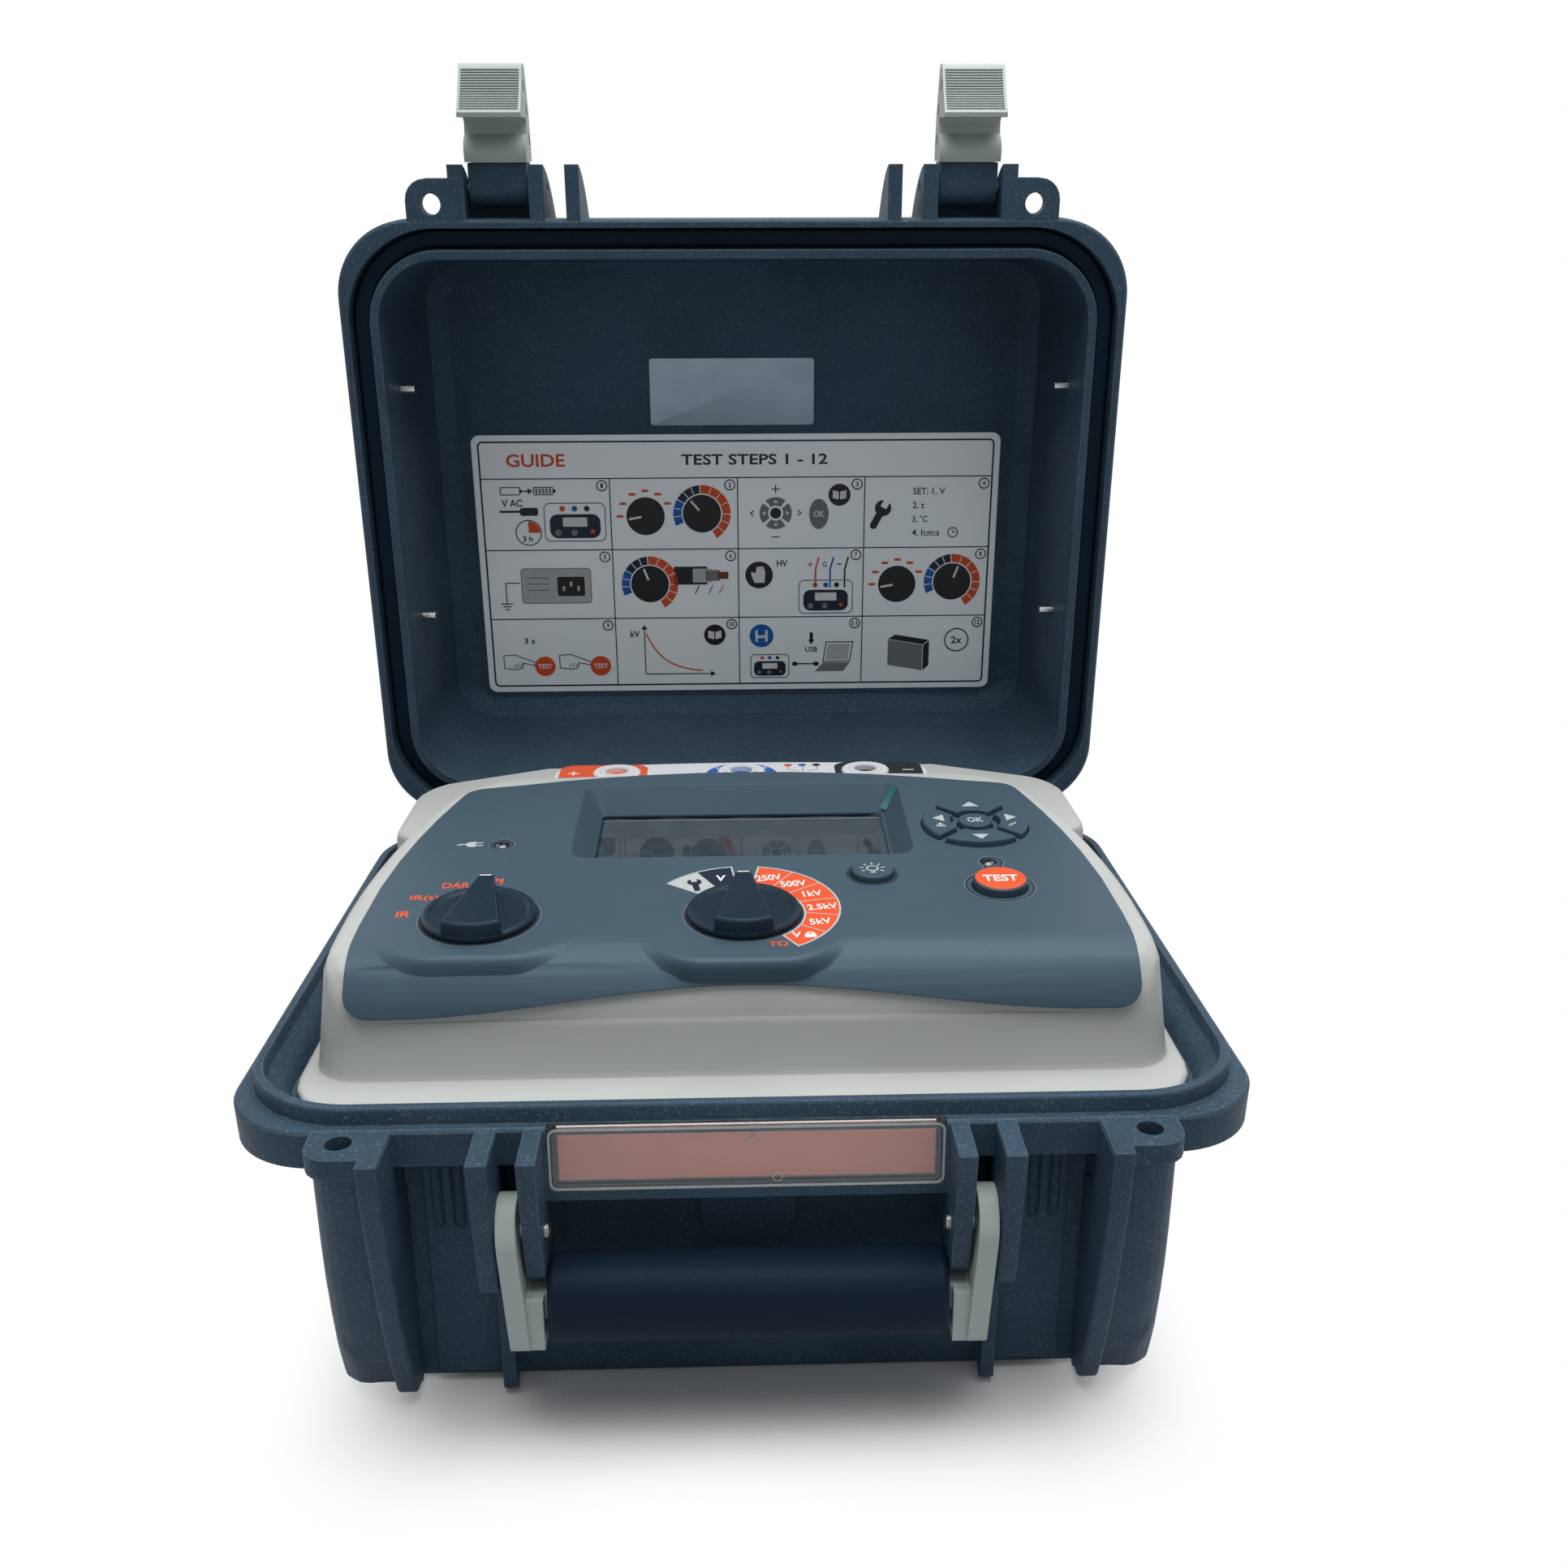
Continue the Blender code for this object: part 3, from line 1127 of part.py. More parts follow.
def panel_housing(finish):
    low = PART_Z - SHELF_DROP + GAP
    high = low + FLANGE_THICKNESS
    inset = RIM_WIDTH + PANEL_CLEARANCE
    flange = loft([rim_loop(inset, low), rim_loop(inset, high - 0.8), rim_loop(inset + 0.8, high)])
    solid = fuse(flange, deck_solid(0.0, 0.0, low + 1.0))
    solid = fuse(solid, console_solid(0.0, SKIN_DROP, low + 1.5, housing_holes()))
    solid = cut_out(solid, deck_solid(PANEL_WALL, PANEL_WALL, low - 9.0))
    solid = cut_out(solid, console_solid(PANEL_WALL, SKIN_DROP + PANEL_WALL, low - 10.0))
    matrix = console_matrix()
    main, keypad = board_posts()
    for places, depth in ((main, BOARD_DEPTH), (keypad, KEYPAD_DEPTH)):
        for x, row in places:
            post = prism_z(circle(x, row, BOSS_RADIUS, 12), -depth + GAP, -SKIN_DROP - PANEL_WALL / 2)
            solid = fuse(solid, moved(post, matrix))
    for k in (-1, 0, 1):
        hole = circle(k * TERMINAL_SPACING, TERMINAL_Y, TERMINAL_BODY_RADIUS + GAP)
        solid = cut_out(solid, prism_z(hole, DECK_Z - 8.0, DECK_Z + 4.0))
    solid = cut_out(solid, inlet_box(GAP, 12.0, 20.0))
    return make("panel_housing", solid, finish)


# Fascia: a sheet bent over the console's rolled front

def fascia_low(x):
    share = min(abs(x) / (CONSOLE_HALF - BAND_WIDTH - 12.0), 1.0)
    drop = FASCIA_LOW_SIDE - FASCIA_LOW_MIDDLE
    return ROLL_START - FASCIA_LOW_MIDDLE - drop * math.sin(math.pi / 2 * share) ** 2


def fascia_outline():
    half = CONSOLE_HALF - BAND_WIDTH
    rear = RIDGE_ROW - 6.5
    end = RIDGE_ROW - REAR_CORNER
    corner_x = side_curve(half, SIDE_SWEEP, end + 4.0)
    curve = 0.0015

    def rear_edge(x):
        return rear - curve * x * x

    right = [(half * k / 12, fascia_low(half * k / 12), 0.0) for k in range(11)]
    right.append((half, fascia_low(half), 9.0))
    right += [(side_curve(half, SIDE_SWEEP, row), row, 0.0) for row in
              (ROLL_START - 14.0, 0.0, end * 0.25, end * 0.45, end * 0.62, end * 0.78, end * 0.9)]
    right.append((corner_x, rear_edge(corner_x) + 1.5, 9.0))
    right += [(corner_x * k / 6, rear_edge(corner_x * k / 6), 0.0) for k in (5, 4, 3, 2, 1, 0)]
    left = [(-x, row, radius) for x, row, radius in reversed(right[1:-1])]
    return fillet(right + left)


def boss_boxes():
    """Flat lands round the two knobs: x span, front and rear on the sheet, and the corner radius."""
    boxes = []
    for (x, row), half, run in ((knob_places()["range"], 29.0, 13.8), (knob_places()["mode"], 28.0, 10.4)):
        boxes.append((x - half, x + half, ROLL_START - run, row + KNOB_RADIUS + 6.0, 16.0))
    return boxes


def well_box():
    return -WELL_HALF_WIDTH, WELL_HALF_WIDTH, WELL_FRONT, WELL_REAR, WELL_CORNER


def sheet_relief(x, run):
    """Height of the fascia above the bent sheet: display well below it, knob lands above it."""
    depth = -rect_distance((x, run), *well_box())
    relief = -WELL_DEPTH * min(max(depth / WELL_SLOPE, 0.0), 1.0)
    bend = max(ROLL_START - run, 0.0) / ROLL_RADIUS
    full = ROLL_RADIUS / math.cos(bend) - ROLL_RADIUS
    for land in boss_boxes():
        away = max(rect_distance((x, run), *land), 0.0)
        relief += full * max(1.0 - away / BOSS_RUN, 0.0)
    return relief


def sheet_point(x, run, offset):
    lift = offset + sheet_relief(x, run)
    if run >= ROLL_START:
        return x, run, lift
    bend = (ROLL_START - run) / ROLL_RADIUS
    radius = ROLL_RADIUS + lift
    return x, ROLL_START - radius * math.sin(bend), -ROLL_RADIUS + radius * math.cos(bend)


def key_sector(turn, grow):
    """Outline of an arrow key: a quarter ring less the web between the keys."""
    points = []
    for radius, direction in ((NAV_RADIUS + grow, 1), (NAV_INNER - grow, -1)):
        half = 45.0 - math.degrees(math.asin((NAV_WEB - grow) / radius))
        steps = 8 if direction > 0 else 4
        points += arc((NAV_X, NAV_ROW), radius, turn - direction * half, turn + direction * half, steps)
    return points


NAV_TURNS = {"right": 0.0, "up": 90.0, "left": 180.0, "down": 270.0}


def fascia(finish):
    window = WELL_SLOPE
    x0, x1, y0, y1, corner = well_box()
    holes = [rounded_rect(x0 + window, x1 - window, y0 + window, y1 - window, max(corner - window, 1.5), 3)]
    holes += [key_sector(turn, KEY_CLEARANCE) for turn in NAV_TURNS.values()]
    holes.append(circle(NAV_X, NAV_ROW, OK_RADIUS + KEY_CLEARANCE))
    holes += [circle(x, row, radius + KEY_CLEARANCE) for x, row, radius in key_places().values()]
    holes += [circle(x, row, SPINDLE_RADIUS + 0.8, 12) for x, row in knob_places().values()]
    well = rounded_rect(x0, x1, y0, y1, corner)
    lines = [well + well[:1]]
    for land in boss_boxes():
        for grow in (0.0, BOSS_RUN):
            x0, x1, front, rear, corner = land
            ring = rounded_rect(x0 - grow, x1 + grow, front - grow, rear + grow, corner + grow)
            lines.append(ring + ring[:1])
    for k in range(7):
        run = ROLL_START - FASCIA_LOW_SIDE * k / 7
        lines.append([(-CONSOLE_HALF, run), (CONSOLE_HALF, run)])
    solid = slab(fascia_outline(), lambda x, run: sheet_point(x, run, 0.0),
                 lambda x, run: sheet_point(x, run, -FASCIA_THICKNESS), holes, lines)
    bmesh.ops.dissolve_limit(solid, angle_limit=math.radians(0.3), verts=solid.verts, edges=solid.edges)
    return solid


def cap(outline, low, high):
    """A key cap with a softened top edge."""
    middle = sum((Vector(p) for p in outline), Vector((0.0, 0.0))) / len(outline)
    drawn = [tuple(middle + (Vector(p) - middle) * 0.94) for p in outline]
    return loft([[(x, y, low) for x, y in outline], [(x, y, high - 0.6) for x, y in outline],
                 [(x, y, high) for x, y in drawn]])


def keys(finish, test_finish, frame):
    for word, turn in NAV_TURNS.items():
        a = math.radians(turn)
        reach = (NAV_RADIUS + NAV_INNER) / 2
        seat = (NAV_X + reach * math.cos(a), NAV_ROW + reach * math.sin(a), 0.0)
        make(f"key_{word}", cap(key_sector(turn, 0.0), -KEY_STEM, KEY_HEIGHT), finish, seat, frame)
    middle = (NAV_X, NAV_ROW, 0.0)
    make("key_ok", cap(circle(NAV_X, NAV_ROW, OK_RADIUS), -KEY_STEM, KEY_HEIGHT), finish, middle, frame)
    x, row, radius = key_places()["backlight"]
    make("key_backlight", cap(circle(x, row, radius), -KEY_STEM, KEY_HEIGHT), finish, (x, row, 0.0), frame)
    x, row, radius = key_places()["test"]
    solid = cap(circle(x, row, radius), -KEY_STEM, KEY_HEIGHT + 0.8)
    make("test_button", solid, test_finish, (x, row, 0.0), frame)


def lights(finish, frame):
    for word in ("power_led", "test_led"):
        x, row, radius = key_places()[word]
        profile = [(radius, -KEY_STEM), (radius, -0.6), (0.75 * radius, 0.1), (0.3 * radius, 0.5)]
        make(word, turned(x, row, profile, 14), finish, (x, row, 0.0), frame)


def pointer_loop(x, row, z, wide, tip, inset):
    """A level of the knob's pointer: its front follows the rim, and its sides run straight to the tip."""
    radius = KNOB_RADIUS - inset
    half = math.degrees(math.asin(wide * POINTER_HALF / radius))
    points = arc((x, row), radius, 270.0 - half, 270.0 + half, 8)
    end = row + 0.985 * math.sqrt(radius ** 2 - (tip * POINTER_TIP) ** 2)
    points += [(x + tip * POINTER_TIP, end), (x - tip * POINTER_TIP, end)]
    return [(px, py, z) for px, py in points]


def knobs(finish, spindle_finish, switch_finish, frame):
    for word, (x, row) in knob_places().items():
        rim = KNOB_RADIUS
        profile = [(rim, 0.5), (rim, KNOB_DISC - 0.8), (rim - 0.8, KNOB_DISC), (rim - 2.2, KNOB_DISC)]
        profile += [(rim - 3.0, KNOB_DISC - 0.8), (1.0, KNOB_DISC - 0.8)]
        disc = turned(x, row, profile, 32)
        levels = ((1.0, 1.10, 1.35, 0.10), (3.6, 1.03, 1.10, 0.12), (KNOB_HEIGHT - 0.7, 1.0, 1.0, 0.15),
                  (KNOB_HEIGHT, 0.95, 0.80, 0.70))
        wedge = loft([pointer_loop(x, row, *level) for level in levels])
        body = fuse(disc, wedge)
        bore = prism_z(circle(x, row, SPINDLE_RADIUS + GAP, 14), -2.0, KNOB_HEIGHT - 2.2)
        make(f"knob_{word}", cut_out(body, bore), finish, (x, row, 0.0), frame)
        switch_top = -SKIN_DROP - PANEL_WALL - 1.0
        spindle = prism_z(circle(x, row, SPINDLE_RADIUS, 14), switch_top + GAP, KNOB_HEIGHT - 2.5)
        make(f"spindle_{word}", spindle, spindle_finish, (x, row, 0.0), frame)
        half = SWITCH_SIZE / 2
        switch = prism_z(rounded_rect(x - half, x + half, row - 0.8 * half, row + half, 3.0, 2),
                         -BOARD_DEPTH + GAP, switch_top)
        make(f"switch_{word}", switch, switch_finish, (x, row, 0.0), frame)


def display(window_finish, module_finish, frame):
    x0, x1, y0, y1, _ = well_box()
    edge = WELL_SLOPE - 2.5
    top = -WELL_DEPTH - FASCIA_THICKNESS - GAP
    pane = rounded_rect(x0 + edge, x1 - edge, y0 + edge, y1 - edge, 2.0, 2)
    window = prism_z(pane, top - WINDOW_THICKNESS, top)
    make("display_window", window, window_finish, (0.0, 0.0, 0.0), frame)
    edge = 2.0
    module = prism_z(rounded_rect(x0 + edge, x1 - edge, y0 + edge, y1 - edge, 1.5, 2), -BOARD_DEPTH + GAP,
                     top - WINDOW_THICKNESS - GAP)
    make("lcd_module", module, module_finish, (0.0, 0.0, 0.0), frame)


def boards(finish, frame):
    half = BOARD_HALF_WIDTH
    plan = rounded_rect(-half, half, BOARD_FRONT, BOARD_REAR, 3.0, 2)
    board = prism_z(plan, -BOARD_DEPTH - BOARD_THICKNESS, -BOARD_DEPTH)
    make("main_board", board, finish, (0.0, 0.0, 0.0), frame)
    left = WELL_HALF_WIDTH + 2.0
    right = NAV_X + NAV_RADIUS + 1.0
    front = TEST_ROW - TEST_RADIUS - 3.0
    step = WELL_FRONT - 3.0
    outline = [(BACKLIGHT_X - 9.0, front), (right, front), (right, NAV_ROW + NAV_RADIUS + 5.5),
               (left, NAV_ROW + NAV_RADIUS + 5.5), (left, step), (BACKLIGHT_X - 9.0, step)]
    keypad = prism_z(outline, -KEYPAD_DEPTH - BOARD_THICKNESS, -KEYPAD_DEPTH)
    make("keypad_board", keypad, finish, (0.0, 0.0, 0.0), frame)


# Terminals on the rear deck

def terminals(finish, contact_finish):
    half = TERMINAL_PLATE_HALF
    front = TERMINAL_Y - 0.36 * TERMINAL_PLATE_DEPTH
    rear = TERMINAL_Y + 0.64 * TERMINAL_PLATE_DEPTH
    bend = 5.0
    right = [(0.0, front, 0.0), (half, front, 4.0), (half, rear - bend, 8.0)]
    right += [(half * k / 5, rear - bend * (k / 5) ** 2, 0.0) for k in (4, 3, 2, 1, 0)]
    left = [(-x, y, radius) for x, y, radius in reversed(right[1:-1])]
    z = TERMINAL_PLATE_Z
    holes = [circle(k * TERMINAL_SPACING, TERMINAL_Y, TERMINAL_BODY_RADIUS + GAP) for k in (-1, 0, 1)]
    plate = slab(fillet(right + left, 4), lambda x, y: (x, y, z + TERMINAL_PLATE_THICKNESS),
                 lambda x, y: (x, y, z), holes)
    make("terminal_plate", plate, finish)
    seat = z + TERMINAL_PLATE_THICKNESS + GAP
    top = seat + COLLAR_HEIGHT
    low = top - TERMINAL_LENGTH
    for k, word in ((-1, "positive"), (0, "guard"), (1, "negative")):
        x = k * TERMINAL_SPACING
        profile = [(TERMINAL_BODY_RADIUS, low), (TERMINAL_BODY_RADIUS, seat), (COLLAR_RADIUS, seat),
                   (COLLAR_RADIUS, top - 0.6), (COLLAR_RADIUS - 0.6, top), (SOCKET_RADIUS, top),
                   (SOCKET_RADIUS, top - SOCKET_DEPTH)]
        make(f"terminal_{word}", turned(x, TERMINAL_Y, profile), finish, (x, TERMINAL_Y, top))
        floor = top - SOCKET_DEPTH + GAP
        contact = [(CONTACT_RADIUS, floor), (CONTACT_RADIUS, floor + CONTACT_LENGTH - 1.0),
                   (0.5 * CONTACT_RADIUS, floor + CONTACT_LENGTH)]
        make(f"contact_{word}", turned(x, TERMINAL_Y, contact, 12), contact_finish, (x, TERMINAL_Y, floor))


# What the case holds under the panel

def inner_modules(battery_finish, module_finish, supply_finish):
    half_x, half_y = tub_half(WALL + TUB_DRAFT + FLOOR_ROUND + MODULE_MARGIN)
    z = FLOOR + GAP
    shared = 2 * half_x - MODULE_GAP
    front, rear = 2 * half_y * FRONT_MODULE_SHARE, 2 * half_y * REAR_MODULE_SHARE
    sizes = {"battery_pack": (BATTERY_SHARE * shared, front, BATTERY_HEIGHT, battery_finish, -1, -1),
             "power_supply": ((1.0 - BATTERY_SHARE) * shared, front, SUPPLY_HEIGHT, supply_finish, 1, -1),
             "hv_module": (HV_WIDTH_SHARE * 2 * half_x, rear, HV_HEIGHT, module_finish, 0, 1)}
    for word, (wide, deep, high, finish, x_side, y_side) in sizes.items():
        x = x_side * (half_x - wide / 2)
        y = y_side * (half_y - deep / 2)
        outline = rounded_rect(x - wide / 2, x + wide / 2, y - deep / 2, y + deep / 2, MODULE_MARGIN / 2, 3)
        make(word, prism_z(outline, z, z + high), finish, (x, y, z))


def mains_inlet(finish):
    body = inlet_box(0.0, INLET_BODY, 1.2)
    y = CONSOLE_ORIGIN.y + INLET_ROW
    z = PART_Z + INLET_RISE
    x = -INLET_FACE
    socket = box(x - 5.0, x + INLET_BODY - 6.0, y - INLET_LENGTH / 2 + 2.2, y + INLET_LENGTH / 2 - 2.2,
                 z - INLET_HEIGHT / 2 + 2.4, z + INLET_HEIGHT / 2 - 2.4)
    make("mains_inlet", cut_out(body, socket), finish, (x, y, z))


def main():
    clear_scene()
    case_plastic = material("case_plastic", (0.020, 0.036, 0.058), 0.62)
    panel_grey = material("panel_grey", (0.52, 0.51, 0.48), 0.55)
    fascia_slate = material("fascia_slate", (0.075, 0.110, 0.150), 0.50)
    key_slate = material("key_slate", (0.080, 0.118, 0.160), 0.55)
    knob_black = material("knob_black", (0.010, 0.016, 0.026), 0.45)
    latch_grey = material("latch_grey", (0.36, 0.40, 0.38), 0.50)
    rubber_black = material("rubber_black", (0.010, 0.018, 0.028), 0.75)
    orange = material("orange", (0.78, 0.10, 0.03), 0.45)
    steel = material("steel", (0.70, 0.72, 0.74), 0.25, 1.0)
    brass = material("brass", (0.76, 0.56, 0.22), 0.30, 1.0)
    clear = material("clear_cover", (0.55, 0.60, 0.62), 0.15)
    plate_red = material("plate_red", (0.40, 0.16, 0.14), 0.55)
    glass = material("display_glass", (0.06, 0.08, 0.09), 0.08)
    dark_module = material("dark_module", (0.05, 0.055, 0.06), 0.55)
    board_green = material("board_green", (0.02, 0.12, 0.06), 0.50)
    terminal_white = material("terminal_white", (0.66, 0.66, 0.68), 0.50)
    led_dark = material("led_dark", (0.02, 0.02, 0.02), 0.12)

    lid_frame = frame_empty("lid_frame", HINGE_AXIS, -math.radians(LID_OPEN_ANGLE))
    console_frame = frame_empty("console_frame", CONSOLE_ORIGIN, TILT)

    case_base(case_plastic)
    hinge_pins(steel)
    case_lid(case_plastic, lid_frame)
    lid_gasket(rubber_black, lid_frame)
    lid_screws(steel, lid_frame)
    latches(latch_grey, case_plastic, steel, lid_frame)
    handle(latch_grey, rubber_black, steel)
    name_plate(plate_red, clear)
    panel_housing(panel_grey)
    make("fascia", fascia(fascia_slate), fascia_slate, (0.0, 0.0, 0.0), console_frame)
    keys(key_slate, orange, console_frame)
    lights(led_dark, console_frame)
    knobs(knob_black, steel, dark_module, console_frame)
    display(glass, dark_module, console_frame)
    boards(board_green, console_frame)
    terminals(terminal_white, brass)
    inner_modules(dark_module, dark_module, steel)
    mains_inlet(dark_module)


main()
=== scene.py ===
"""Looks of the insulation resistance tester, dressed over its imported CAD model."""

import json
from collections import defaultdict
from copy import copy
from math import asin, atan2, cos, degrees, exp, pi, radians, sin, sqrt

import bmesh
import bpy
from mathutils import Matrix, Vector

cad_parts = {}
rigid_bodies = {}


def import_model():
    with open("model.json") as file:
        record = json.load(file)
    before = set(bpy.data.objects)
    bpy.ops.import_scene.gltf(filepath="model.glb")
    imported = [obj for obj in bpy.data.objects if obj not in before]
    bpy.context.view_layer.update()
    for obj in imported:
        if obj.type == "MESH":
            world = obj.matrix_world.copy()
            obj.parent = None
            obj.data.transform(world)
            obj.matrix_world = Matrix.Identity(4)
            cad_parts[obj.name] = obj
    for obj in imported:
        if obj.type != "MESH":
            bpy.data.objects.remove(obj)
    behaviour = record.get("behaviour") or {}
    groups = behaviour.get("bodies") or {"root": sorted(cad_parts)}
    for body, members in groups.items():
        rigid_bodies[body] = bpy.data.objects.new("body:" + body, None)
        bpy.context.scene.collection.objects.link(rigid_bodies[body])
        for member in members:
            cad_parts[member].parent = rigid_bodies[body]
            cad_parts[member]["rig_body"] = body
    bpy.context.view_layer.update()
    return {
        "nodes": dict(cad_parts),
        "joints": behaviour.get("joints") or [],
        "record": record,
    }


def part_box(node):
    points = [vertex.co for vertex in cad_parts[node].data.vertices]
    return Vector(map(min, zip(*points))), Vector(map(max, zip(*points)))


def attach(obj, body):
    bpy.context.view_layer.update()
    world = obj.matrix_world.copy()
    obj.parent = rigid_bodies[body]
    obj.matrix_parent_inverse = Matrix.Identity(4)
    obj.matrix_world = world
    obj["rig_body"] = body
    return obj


for left_over in list(bpy.data.objects):
    bpy.data.objects.remove(left_over)
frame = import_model()
NODES = frame["nodes"]
JOINTS = {joint["name"]: joint for joint in frame["joints"]}
SLOT_OF = {row["node"]: row["material_slot"] for row in frame["record"]["subparts"]}

# Sizes in millimetres. Prints are thin raised shapes, so that they stay when the model leaves Blender.
MM = 0.001
PRINT = 0.05  # height of one layer of ink
PRINT_ROOT = 0.04  # how far an ink starts inside the plate that carries it
PHOTO_SIDE = 1932
SIDES = (("left", -1), ("right", 1))


def shift(*place):
    return Matrix.Translation(place)


# The console plane, from the range knob's axis
KNOB_ROW = 4
KNOB_SPACING = 87
KNOB_HOLE = 20.3  # radius at which the print round a knob begins
KNOB_TIP = 18.2  # pointer tip from the knob's axis
KNOB_TOP = 7.2
turn_axis = Vector(JOINTS["knob_range_turn"]["axis"])
knob_place = Vector(JOINTS["knob_range_turn"]["pos_m"]) / MM
CONSOLE_TILT = atan2(-turn_axis.y, turn_axis.z)
CONSOLE = (shift(*knob_place) @ Matrix.Rotation(CONSOLE_TILT, 4, "X")
           @ shift(0, -KNOB_ROW, 0))

# The open lid: its pieces are drawn with the lid shut and turned about the hinge
HINGE = Vector(JOINTS["lid_hinge"]["pos_m"]) / MM
LID_OPEN = radians(JOINTS["lid_hinge"]["range_deg"][1])
LID_INSIDE = 177  # inner face of the shut lid
LID = shift(*HINGE) @ Matrix.Rotation(-LID_OPEN, 4, "X") @ shift(*-HINGE)
LID_FACE = LID @ shift(0, 0, LID_INSIDE) @ Matrix.Rotation(pi, 4, "X")

# Panel marks, as x and row on the console plane
RING_CENTRE = (-0.2, 8)
RING_RADIUS = 32.3
ORANGE_SPLITS = (80, 57.5, 35, 12.3, -10.7, -33.9, -57.5)
DARK_SPLITS = (143, 119.5, 97)
RANGE_WORDS = (("250V", 8.9, 4.6), ("500V", 8.9, 4.6), ("1kV", 6.6, 4.3), ("2.5kV", 10.2, 4.1), ("5kV", 7.2, 4))
MODE_WORDS = (("IR", -112.5, 7.2, 4.8, 4.4), ("IR(t)", -107.8, 18.9, 9.6, 4.6), ("DAR", -98.6, 28.5, 9.4, 4.4),
              ("PI", -85.2, 31.3, 4.6, 4.4))
KEY_TOP = 2.3
TEST_TOP = 3.1
NAV = (87, 73.9)
TEST = (88, 22)
BACKLIGHT = (45, 33)
TEST_LED = (87, 41.5)
POWER_LED = (-87.6, 62)
WINDOW_TOP = -11.3
WELL = (49.5, 117.3)  # front row and rear row of the display well

# Plan corners of the case: centre, and the least and greatest radius of the rings about it
CORNER_FLAT = radians(18)
CORNER_RINGS = (((127.5, 97), 28.3, 30.3), ((117.5, 87), 0, 37.2))
WELD = 2e-6  # metres
SMOOTH_BELOW = radians(33)

# Labels inside the lid, as x and height above the hinge side, lid open. Bevels: corner outside and inside, inset, drop
GUIDE_HALF = (122.5, 62.5)
GUIDE_MIDDLE = (0, -32.5)
GUIDE_BEVEL = (4, 3.9, 0.15, 0.12)
NOTICE_HALF = (37.4, 15)
NOTICE_MIDDLE = (-2, 49)
NOTICE_BEVEL = (1.6, 1.4, 0.2, 0.1)
LABEL_TOP = 0.35
LABEL_ROOT = 0.02


# Node materials

class Graph:
    """Short hand for building a node tree."""

    def __init__(self, tree):
        self.tree = tree
        tree.nodes.clear()

    def add(self, kind, inputs=None, **settings):
        known = kind.startswith(("Geometry", "Function", "NodeGroup"))
        node = self.tree.nodes.new(kind if known else "ShaderNode" + kind)
        for key, value in settings.items():
            setattr(node, key, value)
        for socket, value in (inputs or {}).items():
            if isinstance(value, bpy.types.NodeSocket):
                self.tree.links.new(value, node.inputs[socket])
            else:
                node.inputs[socket].default_value = value
        return node

    def get(self, *node, **settings):
        """The first output of a new node."""
        return self.add(*node, **settings).outputs[0]

    def maths(self, operation, *values):
        return self.get("Math", dict(enumerate(values)), operation=operation)

    def times(self, a, b):
        return self.maths("MULTIPLY", a, b)

    def minus(self, a, b):
        return self.maths("SUBTRACT", a, b)

    def vector(self, operation, *values):
        outputs = self.add("VectorMath", dict(enumerate(values)), operation=operation).outputs
        return outputs["Value" if operation in ("DOT_PRODUCT", "LENGTH") else "Vector"]


class Nodes(Graph):
    """One material's node tree."""

    def __init__(self, name):
        self.material = bpy.data.materials.new(name)
        self.material.use_nodes = True
        super().__init__(self.material.node_tree)
        self.output = self.add("OutputMaterial")
        self.place = self.add("TexCoord").outputs["Object"]

    def noise(self, size, detail=3, stretch=(1, 1, 1)):
        """Noise whose features are about so many millimetres."""
        place = self.get("Mapping", {"Vector": self.place, "Scale": stretch})
        return self.get("TexNoise", {"Vector": place, "Scale": 1 / (size * MM), "Detail": detail})

    def ramp(self, value, to_low=0, to_high=1, low=0.3, high=0.7):
        """A value from low to high, which is a noise's usual reach, as another range."""
        reach = {"From Min": low, "From Max": high, "To Min": to_low, "To Max": to_high}
        return self.get("MapRange", {"Value": value, **reach})

    def mix(self, factor, a, b):
        return self.add("Mix", {0: factor, 6: a, 7: b}, data_type="RGBA").outputs[2]

    def rounded(self, radius):
        return self.get("Bevel", {"Radius": radius * MM}, samples=4)

    def edges(self, rounded):
        """1 along the edges, where the rounded normal leaves the face's own."""
        normal = self.add("NewGeometry").outputs["Normal"]
        return self.ramp(self.vector("DOT_PRODUCT", rounded, normal), 0, 1, 0.975, 0.8)

    def bump(self, height, depth, normal=None):
        inputs = {"Height": height, "Strength": 1, "Distance": depth * MM}
        if normal is not None:
            inputs["Normal"] = normal
        return self.get("Bump", inputs)

    def shade(self, **inputs):
        sockets = {key.replace("_", " "): value for key, value in inputs.items()}
        return self.surface(self.add("BsdfPrincipled", sockets))

    def surface(self, shader):
        self.tree.links.new(shader.outputs[0], self.output.inputs["Surface"])
        return self.material


def rgba(colour, gain=1):
    return tuple(min(c * gain, 1) for c in colour) + (1,)


ORANGE = (0.74, 0.095, 0.03)
BLUE = (0.013, 0.12, 0.44)
SLATE = (0.047, 0.079, 0.107)
CASE = (0.031, 0.058, 0.088)
WHITE = (1, 1, 1, 1)
COOL = (0.66, 0.85, 1, 1)  # tint of the sheen on the dark plastics


